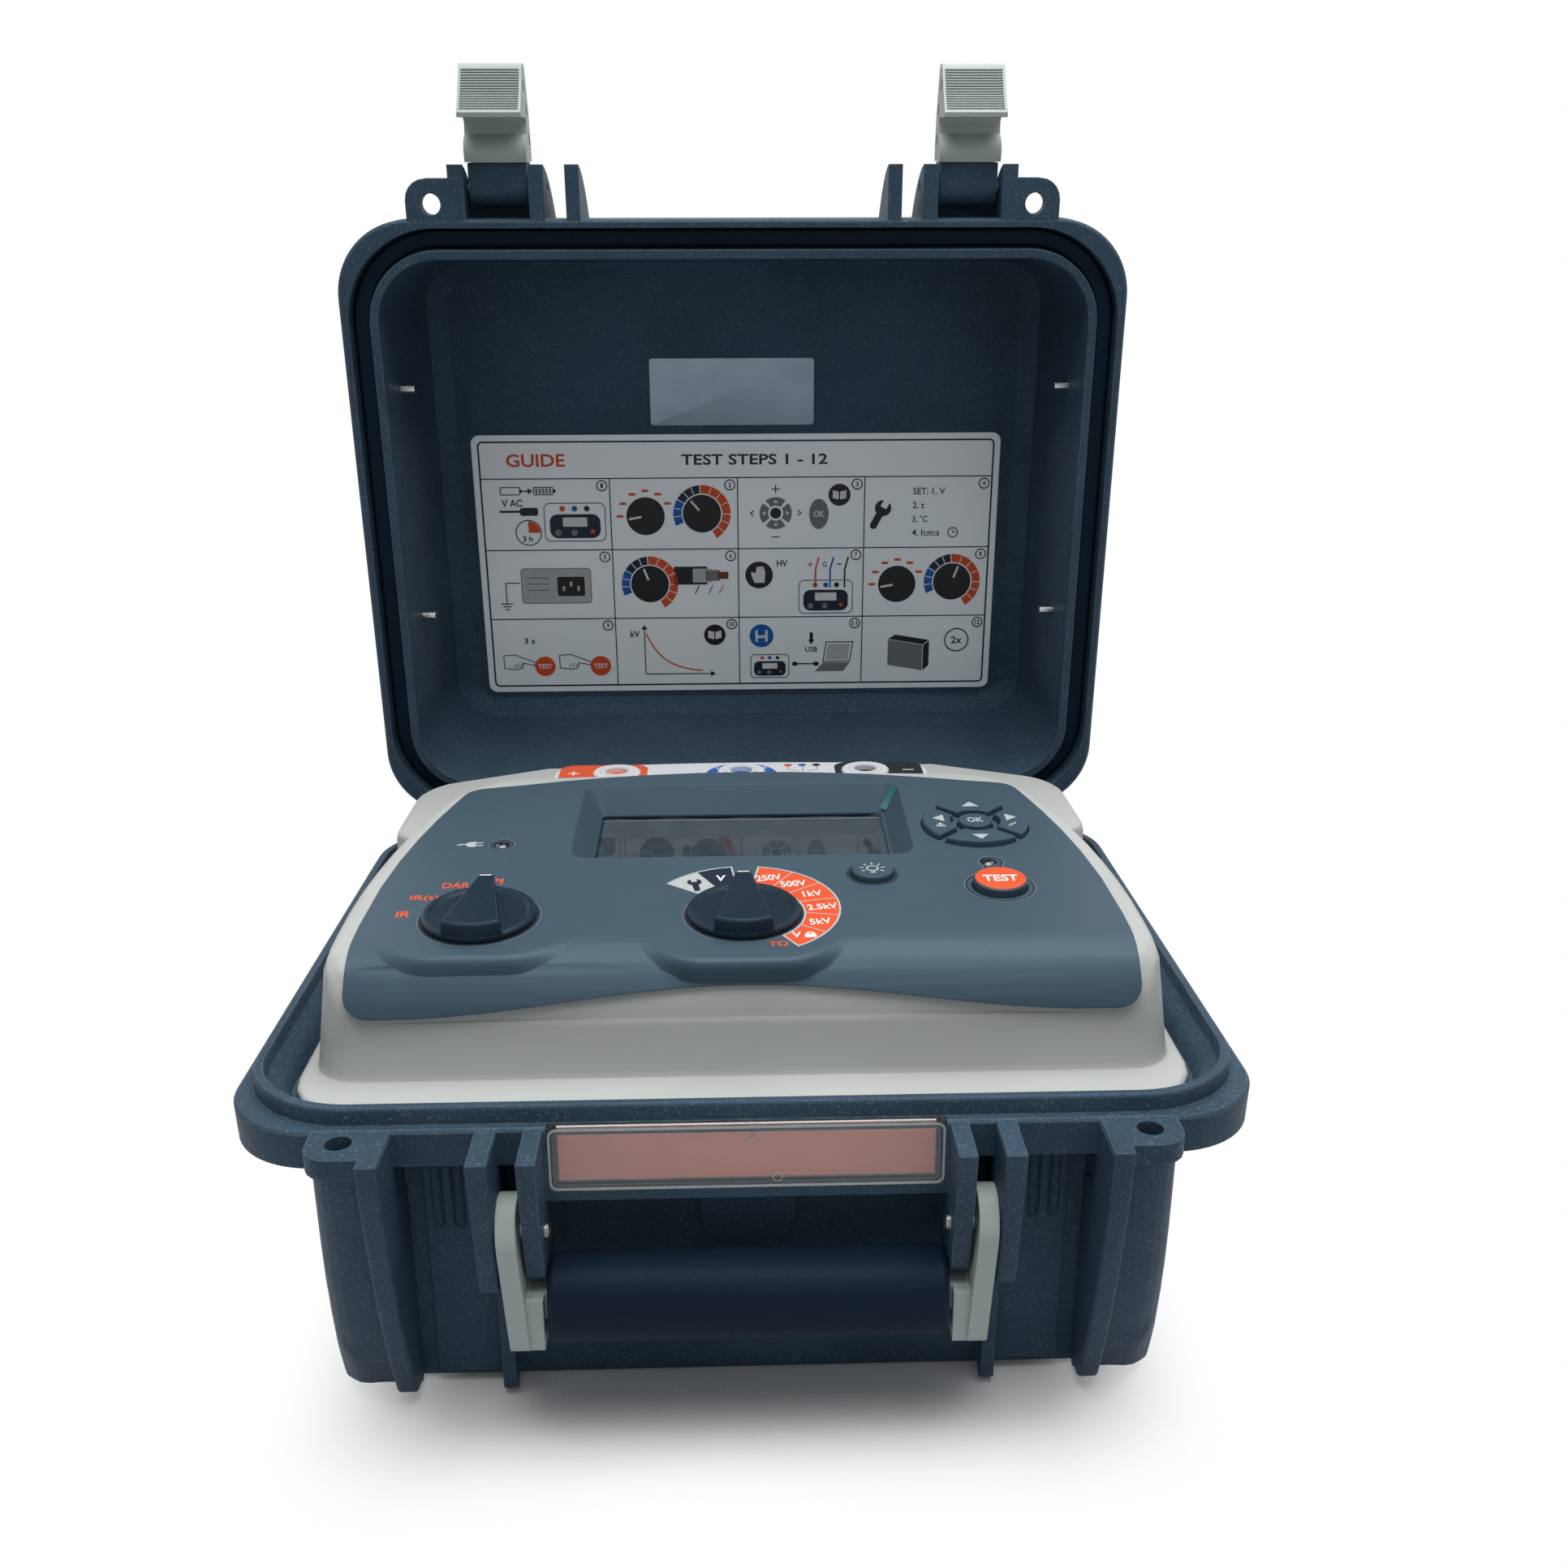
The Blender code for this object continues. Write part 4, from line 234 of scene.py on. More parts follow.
def moulded(name, colour, rough, grain, depth, mottle, specks, wear, edge=0.5, worn=None, sheen=0.5, tint=WHITE,
            coat=0):
    """Moulded plastic or rubber: clouded colour, fine grain, specks and edges rubbed lighter."""
    n = Nodes(name)
    fine = n.noise(grain, 2)
    rounded = n.rounded(edge)
    tone = n.mix(n.ramp(n.noise(60, 4)), rgba(colour, 1 - mottle), rgba(colour, 1 + mottle))
    worn = rgba(worn or [c * 2.2 + 0.03 for c in colour])
    if specks:
        dots = n.times(n.ramp(n.noise(0.75, 2), 0, 1, 0.56, 0.74), n.ramp(n.noise(6), 0.25, 1, 0.35, 0.65))
        tone = n.mix(n.times(dots, specks), tone, worn)
    scuffs = n.noise(4.5, 5, (1, 1, 0.35))
    rubbed = n.times(n.edges(rounded), n.ramp(scuffs, 0.25, 1, 0.32, 0.62))
    tone = n.mix(n.times(rubbed, wear), tone, worn)
    return n.shade(Base_Color=tone, Roughness=n.ramp(fine, rough - 0.06, rough + 0.06), Coat_Weight=coat,
                   Normal=n.bump(fine, depth, rounded), Specular_IOR_Level=sheen, Specular_Tint=tint)


def inked(name, colour, rough=0.42):
    """Screen-printed ink: slightly uneven cover with a faint orange-peel gloss."""
    n = Nodes(name)
    peel = n.noise(0.5, 2)
    tone = n.mix(n.ramp(n.noise(2.2, 4)), rgba(colour, 0.93), rgba(colour, 1.05))
    return n.shade(Base_Color=tone, Roughness=n.ramp(peel, rough - 0.05, rough + 0.07),
                   Specular_IOR_Level=0.22, Normal=n.bump(peel, 0.008))


def metal(name, colour, rough):
    n = Nodes(name)
    fine = n.noise(0.6, 4)
    tone = n.mix(n.ramp(n.noise(8)), rgba(colour, 0.85), rgba(colour))
    return n.shade(Base_Color=tone, Metallic=1, Roughness=n.ramp(fine, rough - 0.08, rough + 0.1),
                   Normal=n.bump(fine, 0.012, n.rounded(0.25)))


def clear_cover():
    """Clear plastic that things show through."""
    n = Nodes("clear_cover")
    haze = n.noise(9, 4)
    tint = (0.97, 0.96, 0.95)
    return n.shade(Base_Color=n.mix(haze, rgba(tint, 0.95), rgba(tint)), Transmission_Weight=1, IOR=1.46,
                   Roughness=n.ramp(haze, 0.1, 0.18), Normal=n.bump(n.noise(3), 0.006))


def film_sheet():
    """Loose clear film: almost nothing but a faint haze and gloss."""
    n = Nodes("film_clear")
    haze = n.noise(9, 4)
    return n.shade(Base_Color=n.mix(haze, rgba((0.55, 0.62, 0.66)), rgba((0.75, 0.8, 0.82))),
                   Alpha=n.ramp(haze, 0.03, 0.055, 0.35, 0.7), Roughness=n.ramp(haze, 0.12, 0.2),
                   Specular_IOR_Level=0.3, Normal=n.bump(n.noise(14), 0.1))


def test_cap():
    """The test button: an orange top on a slate skirt."""
    n = Nodes("test_orange")
    fine = n.noise(0.8, 2)
    up = n.vector("DOT_PRODUCT", n.add("NewGeometry").outputs["Normal"], tuple(turn_axis))
    orange = n.mix(n.ramp(n.noise(6, 4)), rgba(ORANGE, 0.93), rgba(ORANGE, 1.06))
    tone = n.mix(n.ramp(up, 0, 1, 0.72, 0.8), rgba(SLATE, 0.7), orange)
    return n.shade(Base_Color=tone, Roughness=n.ramp(fine, 0.38, 0.5),
                   Normal=n.bump(fine, 0.02, n.rounded(0.5)), Specular_IOR_Level=0.4)


def display_glass():
    """The display window: a dark glossy pane with a faint film of dust."""
    n = Nodes("display_glass")
    dust = n.ramp(n.noise(0.9, 5), 0, 1, 0.5, 0.8)
    tone = n.mix(n.times(dust, 0.25), rgba((0.014, 0.026, 0.036)), rgba((0.04, 0.06, 0.075)))
    return n.shade(Base_Color=tone, Roughness=n.ramp(dust, 0.02, 0.07, 0, 1), Specular_IOR_Level=0.6,
                   Normal=n.bump(n.noise(40, 2), 0.01))


def notice_silver():
    n = Nodes("notice_silver")
    satin = n.noise(0.5, 4, (0.06, 1, 1))
    tone = n.mix(n.ramp(n.noise(18)), rgba((0.24, 0.32, 0.38)), rgba((0.3, 0.38, 0.44)))
    return n.shade(Base_Color=tone, Metallic=0.35, Roughness=n.ramp(satin, 0.36, 0.52), Normal=n.bump(satin, 0.004))


# Colour, roughness, grain and its depth, mottle, specks, wear, edge radius, worn colour, sheen and its tint, coat
MOULDED = {
    "case_plastic": (CASE, 0.55, 1.1, 0.15, 0.18, 0.8, 0.9, 0.9, (0.155, 0.2, 0.235), 0.2, COOL),
    "panel_grey": ((0.47, 0.485, 0.465), 0.55, 0.8, 0.06, 0.03, 0.08, 0.1, 3, (0.62, 0.63, 0.61), 0.3),
    "fascia_slate": (SLATE, 0.47, 0.7, 0.03, 0.05, 0.06, 0.25, 0.6, (0.12, 0.165, 0.2), 0.3, COOL),
    "key_slate": ([0.92 * c for c in SLATE], 0.5, 0.8, 0.03, 0.05, 0.03, 0.3, 0.7, (0.14, 0.18, 0.215), 0.3, COOL),
    "knob_black": ((0.0075, 0.018, 0.031), 0.4, 0.9, 0.03, 0.1, 0.05, 0.5, 0.8, (0.1, 0.135, 0.165), 0.28, COOL),
    "latch_grey": ((0.4, 0.455, 0.425), 0.5, 0.9, 0.04, 0.06, 0.06, 0.35, 0.6, (0.58, 0.63, 0.59), 0.35),
    "rubber_black": ((0.0055, 0.0125, 0.025), 0.6, 1.4, 0.05, 0.12, 0.06, 0.25, 0.8, (0.04, 0.062, 0.085), 0.12, COOL),
    "plate_red": ((0.43, 0.18, 0.155), 0.5, 1.2, 0.02, 0.05, 0, 0.1),
    "dark_module": ((0.012, 0.019, 0.028), 0.5, 0.8, 0.03, 0.1, 0.04, 0.3, 0.5, None, 0.25),
    "board_green": ((0.012, 0.1, 0.045), 0.45, 1.6, 0.02, 0.12, 0.1, 0.1),
    "terminal_white": ((0.7, 0.71, 0.74), 0.42, 0.8, 0.02, 0.03, 0, 0.2, 0.5, (0.8, 0.8, 0.82)),
    "led_dark": ((0.006, 0.007, 0.008), 0.16, 1.5, 0.004, 0.1, 0, 0.2, 0.3, None, 0.5, WHITE, 1),
    "label_white": ((0.92, 0.985, 1), 0.36, 1.4, 0.006, 0.03, 0, 0.15, 0.3, (0.9, 0.92, 0.92), 1),
}
FINISHES = {name: moulded(name, *row) for name, row in MOULDED.items()}
FINISHES.update(test_orange=test_cap(), clear_cover=clear_cover(), display_glass=display_glass(),
                steel=metal("steel", (0.52, 0.53, 0.53), 0.26), brass=metal("brass", (0.78, 0.56, 0.24), 0.28))

# Colour, a slot, and roughness
INK_ROWS = {
    "orange": (ORANGE, "test_orange"),
    "white": ((0.78, 0.79, 0.78), "terminal_white"),
    "pale": ((0.47, 0.5, 0.5), "panel_grey"),
    "navy": ((0.011, 0.019, 0.036), "knob_black"),
    "black": ((0.012, 0.014, 0.017), "knob_black"),
    # grey is also painted as highlights beside the grooves and round the knobs and the power light
    "grey": ((0.19, 0.2, 0.21), "latch_grey"),
    "blue": (BLUE, None),
    "brown": ((0.17, 0.05, 0.025), None),
    # groove is painted shade between the latch ribs
    "groove": ((0.085, 0.105, 0.1), "latch_grey", 0.6),
    "shade": ((0.016, 0.024, 0.034), "knob_black", 0.6),
}
INKS = {ink: (inked(f"ink_{ink}", colour, *rough), slot) for ink, (colour, slot, *rough) in INK_ROWS.items()}


# Pieces

def placed(name, data):
    obj = bpy.data.objects.new(name, data)
    bpy.context.scene.collection.objects.link(obj)
    return obj


def meshed(name, bm, finish):
    mesh = bpy.data.meshes.new(name)
    bm.to_mesh(mesh)
    bm.free()
    mesh.materials.append(finish)
    return placed(name, mesh)


def piece(name, bm, look, body, plane=Matrix(), sharp=32):
    """A mesh drawn in millimetres on a plane, as a piece that rides a body.

    Its look is a CAD slot, whose finish it takes, or else a material and a slot; the slot of that pair is not used.
    """
    bmesh.ops.remove_doubles(bm, verts=bm.verts, dist=0.0005)
    bmesh.ops.recalc_face_normals(bm, faces=bm.faces)
    bm.transform(Matrix.Scale(MM, 4) @ plane)
    for face in bm.faces:
        face.smooth = True
    for edge in bm.edges:
        edge.smooth = len(edge.link_faces) == 2 and edge.calc_face_angle(0) < radians(sharp)
    finish, slot = (FINISHES[look], look) if isinstance(look, str) else look
    obj = meshed(name, bm, finish)
    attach(obj, body)


def skin(bm, rows, closed=True, looped=False, caps=False):
    """Quads between rows of points. Closed rows join their ends, and a looped skin joins its last row to its first."""
    rows = [[bm.verts.new(point) for point in row] for row in rows]
    if caps:
        bm.faces.new(rows[-1])
        bm.faces.new(rows[0])
    for a, b in zip(rows, rows[1:] + rows[:1] * looped):
        for k in range(0 if closed else 1, len(a)):
            bm.faces.new((a[k - 1], a[k], b[k], b[k - 1]))
    return rows


def skinned(name, rows, look, body, plane=Matrix(), thickness=0, **kind):
    """A piece of one skin, with a thickness where it is a sheet."""
    bm = bmesh.new()
    skin(bm, rows, **kind)
    if thickness:
        bmesh.ops.solidify(bm, geom=list(bm.faces), thickness=thickness)
    piece(name, bm, look, body, plane)


def grid(columns, rows, point):
    return [[point(i / columns, j / rows) for i in range(columns + 1)] for j in range(rows + 1)]


def box_of(node):
    """A node's lowest corner, highest corner and middle in millimetres."""
    low, high = (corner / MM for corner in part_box(node))
    return low, high, (low + high) / 2


def arc(x, y, radius, start, end, steps=None):
    steps = steps or max(2, int(abs(end - start) / 6))
    angles = [radians(start + (end - start) * k / steps) for k in range(steps + 1)]
    return [(x + radius * cos(a), y + radius * sin(a)) for a in angles]


def polar(x, y, radius, angle):
    return arc(x, y, radius, angle, angle, 1)[0]


def circle(x, y, radius, steps=40):
    return arc(x, y, radius, 0, 360, steps)[:-1]


def round_box(x0, x1, y0, y1, radius):
    left, right, low, high = x0 + radius, x1 - radius, y0 + radius, y1 - radius
    corners = ((right, low), (right, high), (left, high), (left, low))
    return [point for k, corner in enumerate(corners) for point in arc(*corner, radius, 90 * k - 90, 90 * k, 6)]


def turned(outline, x, y, turn, scale=1):
    """An outline drawn about the origin, turned and set at a place."""
    c, s = cos(radians(turn)), sin(radians(turn))
    return [(x + scale * (c * u - s * v), y + scale * (s * u + c * v)) for u, v in outline]


def offset_path(points, distance, closed):
    """A path moved sideways by a distance, with mitred corners."""
    spots = [Vector(p) for p in points]
    count = len(spots)
    moved = []
    for k, here in enumerate(spots):
        before = spots[k - 1] if closed or k else here
        after = spots[(k + 1) % count] if closed or k < count - 1 else here
        runs = [(b - a).normalized() for a, b in ((before, here), (here, after)) if (b - a).length > 1e-9]
        sides = [run.orthogonal() for run in runs]
        side = sum(sides, Vector((0, 0))).normalized()
        moved.append(tuple(here + side * distance / max(side.dot(sides[0]), 0.35)))
    return moved


class Print:
    """Thin raised shapes in a few inks on one plane, drawn in millimetres from an origin on it."""

    def __init__(self, name, plane, body):
        self.name, self.plane, self.body = name, plane, body
        self.layers = defaultdict(bmesh.new)
        self.origin = (0, 0, 0, 1)  # x, y, turn and scale

    def spot(self, x, y):
        return turned([(x, y)], *self.origin)[0]

    def at(self, x, y, turn=0, scale=1):
        """The same print, drawn on from another origin."""
        other = copy(self)
        other.origin = (*self.spot(x, y), self.origin[2] + turn, self.origin[3] * scale)
        return other

    def raised(self, ink, loops, **kind):
        """The skin over loops, each an outline and its height."""
        skin(self.layers[ink], [[(x, y, z) for x, y in turned(loop, *self.origin)] for loop, z in loops], **kind)

    def fill(self, ink, outline, level=1):
        self.raised(ink, ((outline, -PRINT_ROOT), (outline, level * PRINT)), caps=True)

    def band(self, ink, outer, inner, level=1):
        """The strip between two closed outlines of as many points."""
        top = level * PRINT
        self.raised(ink, ((outer, -PRINT_ROOT), (outer, top), (inner, top), (inner, -PRINT_ROOT)), looped=True)

    def line(self, ink, points, width, level=1, closed=False):
        half = width / 2 / self.origin[3]
        left, right = (offset_path(points, distance, closed) for distance in (half, -half))
        if closed:
            self.band(ink, left, right, level)
        else:
            self.fill(ink, left + right[::-1], level)

    def box(self, ink, x0, x1, y0, y1, radius, level=1):
        self.fill(ink, round_box(x0, x1, y0, y1, radius), level)

    def disc(self, ink, x, y, radius, level=1, steps=40):
        self.fill(ink, circle(x, y, radius, steps), level)

    def ring(self, ink, x, y, outer, inner, level=1):
        self.band(ink, circle(x, y, outer), circle(x, y, inner), level)

    def sector(self, ink, outer, inner, start, end, level=1):
        self.fill(ink, arc(0, 0, outer, start, end) + arc(0, 0, inner, end, start), level)

    def words(self, ink, text, x, y, width, height, level=1, turn=0, weight=0.02):
        """Lettering that fills a box of that width and height."""
        curve = bpy.data.curves.new("lettering", "FONT")
        curve.body = text
        curve.offset = weight
        curve.resolution_u = 3
        holder = bpy.data.objects.new("lettering", curve)
        curve.extrude = 0.5
        mesh = bpy.data.meshes.new_from_object(holder)
        spots = [vertex.co for vertex in mesh.vertices]
        low, high = (Vector([pick(p[i] for p in spots) for i in range(3)]) for pick in (min, max))
        rise = level * PRINT + PRINT_ROOT
        size = Matrix.Diagonal((width / (high.x - low.x), height / (high.y - low.y), rise, 1))
        place = (*self.spot(x, y), level * PRINT - rise / 2)
        spot = shift(*place) @ Matrix.Rotation(radians(turn), 4, "Z")
        mesh.transform(spot @ size @ shift(*-(low + high) / 2))
        self.layers[ink].from_mesh(mesh)
        bpy.data.meshes.remove(mesh)
        bpy.data.objects.remove(holder)
        bpy.data.curves.remove(curve)

    def done(self):
        for ink, bm in self.layers.items():
            piece(f"{self.name}_{ink}", bm, INKS[ink], self.body, self.plane)


def wrench(size):
    """A spanner that stands on its handle, with the jaw's middle at the origin."""
    radius, half, notch = 0.3 * size, 0.13 * size, 0.12 * size
    waist = degrees(asin(half / radius))
    mouth = degrees(asin(notch / radius))
    points = arc(0, 0, radius, -90 + waist, 90 - mouth, 6)
    points += [(notch, 0.02 * size), (-notch, 0.02 * size)]
    points += arc(0, 0, radius, 90 + mouth, 270 - waist, 6)
    return points + arc(0, -0.72 * size, half, 180, 360, 6)


# Marks on the console

def ring_reach(angle):
    """How far the ring's inner edge is from the ring's centre: it follows the hole round the knob."""
    a = radians(angle)
    along = RING_CENTRE[0] * cos(a) + (RING_CENTRE[1] - KNOB_ROW) * sin(a)
    away = RING_CENTRE[0] ** 2 + (RING_CENTRE[1] - KNOB_ROW) ** 2
    return -along + sqrt(along ** 2 - away + KNOB_HOLE ** 2)


def ring_part(start, end):
    points = arc(*RING_CENTRE, RING_RADIUS, start, end)
    steps = len(points) - 1
    angles = [end + (start - end) * k / steps for k in range(steps + 1)]
    return points + [polar(*RING_CENTRE, ring_reach(angle), angle) for angle in angles]


def ring_spot(start, end, share=0.5):
    angle = (start + end) / 2
    return polar(*RING_CENTRE, ring_reach(angle) * (1 - share) + RING_RADIUS * share, angle)


def range_ring(pen):
    for splits, inks in ((DARK_SPLITS, ("pale", "navy")), (ORANGE_SPLITS, ("orange",) * 6)):
        for start, end, ink in zip(splits, splits[1:], inks):
            pen.fill(ink, ring_part(start, end))
        pen.line("pale", ring_part(splits[0], splits[-1]), 0.65, 3, True)
    for angle in ORANGE_SPLITS[1:-1]:
        pen.line("pale", [polar(*RING_CENTRE, reach, angle) for reach in (ring_reach(angle), RING_RADIUS)], 0.4, 2)
    for (text, width, height), start, end in zip(RANGE_WORDS, ORANGE_SPLITS, ORANGE_SPLITS[1:]):
        pen.words("white", text, *ring_spot(start, end, 0.52), width, height, 2, 8)
    lock = pen.at(*ring_spot(*ORANGE_SPLITS[-2:], 0.45))
    lock.words("white", "V", -2, 0, 3, 3.7, 2, 0, 0.03)
    lock.box("white", 0.6, 4.4, -1.9, 0.5, 0.3, 2)
    lock.line("white", arc(2.5, 0.5, 1.15, 0, 180, 8), 0.6, 2)
    pen.words("white", "V", *ring_spot(*DARK_SPLITS[1:]), 3.3, 4.6, 2, 0, 0.03)
    x, y = ring_spot(*DARK_SPLITS[:2])
    pen.fill("navy", turned(wrench(8.4), x - 0.4, y + 1.8, 10), 2)
    pen.words("orange", "TΩ", 10.8, -17.2, 6.2, 3.2)


def plug_icon(pen):
    pen.fill("pale", arc(0, 0, 2.2, 90, 270, 10) + [(1.5, -2.2), (1.5, 2.2)])
    for rise in (-1.1, 1.1):
        pen.box("pale", 1.5, 4.2, rise - 0.38, rise + 0.38, 0.3, 2)
    pen.line("pale", [(-2, 0), (-3.4, 0), (-4.4, -0.5), (-5.2, -0.5)], 0.8, 2)


def grooves(pen):
    """Painted shade in the groove that joins the test light to the test button, and in those round power light,
    backlight key and knobs, with grey lines painted as highlights beside some of them.
    """
    neck, big, small = 2.9, 11.6, 3.9
    wide = degrees(asin(neck / big))
    narrow = degrees(asin(neck / small))
    points = arc(*TEST, big, 90 + wide, 450 - wide, 48)
    points += arc(TEST[0], TEST_LED[1], small, -90 + narrow, 270 - narrow, 16)
    # A dark line of painted shade along the groove, and a grey painted highlight beside it
    pen.line("shade", points, 0.7, 1, True)
    pen.line("grey", offset_path(points, -0.55, True), 0.3, 1, True)
    # Painted shade in the ring round the power light, and a grey painted highlight outside it
    pen.ring("shade", *POWER_LED, 4.4, 3.8)
    pen.ring("grey", *POWER_LED, 4.75, 4.5)
    pen.ring("shade", *BACKLIGHT, 9.1, 7.8)
    # Painted shadow in the gap round each knob, and a grey painted highlight outside it
    for x in (-KNOB_SPACING, 0):
        pen.ring("shade", x, KNOB_ROW, 19.9, 17.5)
        pen.ring("grey", x, KNOB_ROW, 20.2, 19.95)


def console_print():
    pen = Print("panel_print", CONSOLE, "base")
    range_ring(pen)
    for text, *box in MODE_WORDS:
        pen.words("orange", text, *box)
    plug_icon(pen.at(POWER_LED[0] - 11, POWER_LED[1] + 0.6))
    grooves(pen)
    pen.done()


def above(height):
    return CONSOLE @ shift(0, 0, height)


def key_print():
    marks = {"up": (0, 14.9, 0, 1), "down": (0, -15.2, 180, 0.95), "left": (-13.6, 2, 90, 0.95),
             "right": (13.6, 2, -90, 0.95)}
    for word, (x, y, turn, scale) in marks.items():
        pen = Print(f"key_{word}_mark", above(KEY_TOP), f"key_{word}").at(NAV[0] + x, NAV[1] + y)
        pen.fill("pale", turned([(-3.3, -2.1), (3.3, -2.1), (0, 2.3)], 0, 0, turn, scale))
        if word == "left":
            pen.box("pale", -1.7, 1.9, -7.8, -6.9, 0.2)
            pen.fill("pale", [(-1.3, -6.3), (1.5, -6.3), (0.1, -4.3)])
        if word == "right":
            pen.line("pale", [(-2.2, -7.6), (-0.7, -7.6), (-0.7, -6), (0.8, -6), (0.8, -4.6)], 0.5)
        pen.done()
    for name, top, body, *words in (("key_ok_mark", KEY_TOP, "key_ok", "pale", "OK", *NAV, 6, 4.2),
                                    ("test_mark", TEST_TOP, "test_button", "white", "TEST", *TEST, 12, 5, 1, 0, 0.025)):
        pen = Print(name, above(top), body)
        pen.words(*words)
        pen.done()
    pen = Print("backlight_mark", above(KEY_TOP), "key_backlight").at(*BACKLIGHT)
    pen.ring("pale", 0, -0.2, 2.2, 1.65)
    for k in range(7):
        pen.line("pale", [polar(0, -0.2, reach, -30 + 40 * k) for reach in (3, 4.5)], 0.55)
    pen.box("pale", -0.9, 0.9, -3.9, -2.9, 0.3)
    pen.done()


def knob_ticks():
    """White ticks on the pointers' tips."""
    profile = ((-1.2, 0.06, 2.2), (-0.52, 0.06, 2.1), (0.06, -0.68, 2.6), (0.06, -2.3, 2.75))
    share = 0.93  # of the pointer's width
    for word, x in (("mode", -KNOB_SPACING), ("range", 0)):
        rows = [[(x + side * half * share, KNOB_ROW + KNOB_TIP + run, KNOB_TOP + rise) for side in (-1, 1)]
                for run, rise, half in profile]
        skinned(f"knob_{word}_tick", rows, INKS["white"], f"knob_{word}", CONSOLE, 0.12, closed=False)


def knob_lands():
    """Smooth fronts of the two knob lands, where the fascia rolls down."""
    roll, start, run, corner = 22, -10, 6.4, 16
    for name, middle, half, front in (("range", 0, 29, -23.8), ("mode", -KNOB_SPACING, 28, -20.4)):
        def point(u, v):
            bend = (front - run - start) * -v / roll
            x = (half + run) * (2 * u - 1)
            beyond = Vector((max(abs(x) - half + corner, 0), max(front + corner - start + bend * roll, 0)))
            share = min(max(beyond.length - corner, 0) / run, 1)
            share = 1 - share * share * (3 - 2 * share)
            cover = min(share / 0.06, 1) * min(v * 6.4, 1)
            reach = roll + 0.23 * cover - 0.2 + (roll / cos(bend) - roll) * share
            return middle + x, start - reach * sin(bend), reach * cos(bend) - roll

        skinned(f"knob_land_{name}", grid(60, 32, point), "fascia_slate", "base", CONSOLE, closed=False)


# Display and terminals

def display_trim():
    rear = WELL[1]
    pen = Print("display_border", above(WINDOW_TOP), "base")
    pen.box("grey", -55, 55, rear - 9.4, rear - 8.8, 0.25)
    pen.done()


def film():
    """The clear protective film that is still on the display, with its teal pull tab."""
    front, rear = WELL

    def point(u, v):
        """Flat in the middle, waved at the rear, lifted at the right edge."""
        x = -54 + 112 * u
        row = front + 8.4 + (rear - front - 17) * v + 0.7 * sin(0.22 * x + 1) * v ** 6
        lift = max(x - 49, 0) / 9
        wave = 0.25 * sin(0.35 * x) * max(row - (rear - 20), 0) / 14
        return x, row, WINDOW_TOP + 0.35 + 0.25 * (1 + wave) + 3.2 * min(lift, 1) ** 1.6

    skinned("display_film", grid(36, 16, point), (film_sheet(), "clear_cover"), "base", CONSOLE, 0.1, closed=False)
    strip = []
    for k in range(9):
        share = k / 8
        x, row, half = 55.5 + 5.6 * share, rear - 9.5 + 5 * share, 1 + 0.9 * share
        lift = WINDOW_TOP + 4.2 + 7 * share ** 1.3
        strip.append([(x - half, row + 0.9, lift + 0.3), (x + half, row - 1.2, lift - 0.2)])
    teal = inked("tab_teal", (0.012, 0.115, 0.115), 0.3)
    skinned("film_tab", strip, (teal, None), "base", CONSOLE, 0.12, closed=False)


def terminal_print():
    low, high, middle = box_of("terminal_plate")
    socket_y = box_of("terminal_guard")[2].y
    inner, outer, spot = box_of("terminal_negative")
    collar = (outer.x - inner.x) / 2
    edge, sign = 1.6, 70.5
    near, far = low.y + edge, high.y - edge
    pen = Print("terminal_print", shift(0, 0, high.z), "base")
    for side, ink in ((-1, "orange"), (1, "black")):
        pen.box(ink, *sorted((side * (high.x - edge), side * (spot.x - 12.5))), near, far, 6)
        pen.at(side * sign, middle.y).box("white", -2.4, 2.4, -0.45, 0.45, 0.3, 2)
    pen.at(-sign, middle.y).box("white", -0.45, 0.45, -2.4, 2.4, 0.3, 3)
    radius = far - socket_y
    dip = degrees(asin(min((socket_y - near) / radius, 1)))
    pen.fill("blue", arc(0, socket_y, radius, -dip, 180 + dip, 40))
    for k, letter in enumerate("GUARD"):
        angle = 138 - 24 * k
        pen.words("white", letter, *polar(0, socket_y, collar + 2.7, angle), 2.3, 2.9, 2, angle - 90, 0.015)
    for x, ink in ((-6, "orange"), (0, "blue"), (6, "black")):
        leads = pen.at(26, far)
        leads.disc(ink, x, -3, 1.7, 2, 20)
        leads.line("grey", [(x, -5), (x, -9), (0.3 * x, -12)], 0.4)
    pen.done()
    profile = ((7, -0.02), (7, 0.25), (6.6, 0.42), (5.6, 0.42), (5.2, 0.25), (5.2, -0.02))
    for word in ("positive", "guard", "negative"):
        low, high, middle = box_of(f"terminal_{word}")
        loops = [[(x, y, high.z + lift) for x, y in circle(middle.x, socket_y, radius, 36)] for radius, lift in profile]
        skinned(f"terminal_bead_{word}", loops, "terminal_white", "base", looped=True)


# The guide inside the lid: each motif is drawn about its pen's origin

def small_instrument(pen):
    pen.line("grey", round_box(-15, 15, -9.5, 9.5, 3), 0.5, 2, True)
    pen.box("navy", -12.5, 12.5, -8, 4, 4, 2)
    pen.box("white", -6, 6, -2.2, 2.4, 0.6, 3)
    for x, ink in ((-6, "orange"), (0, "blue"), (6, "black")):
        pen.disc(ink, x, 6.8, 1.4, 2, 18)
    for x in (-8.5, -0.5):
        pen.disc("grey", x, -5.2, 1.6, 3, 18)
    pen.disc("orange", 8.6, -4.6, 1.1, 3, 16)


def dial(pen, pointer):
    pen.disc("black", 0, 0, 9, 2)
    pen.at(0, 0, pointer).box("white", -0.5, 0.5, 2, 8, 0.3, 3)


def mode_dial(pen):
    dial(pen, 100)
    for angle in range(180, 0, -30):
        pen.at(*polar(0, 0, 12, angle)).box("orange", -1.6, 1.6, -0.6, 0.6, 0.3, 2)


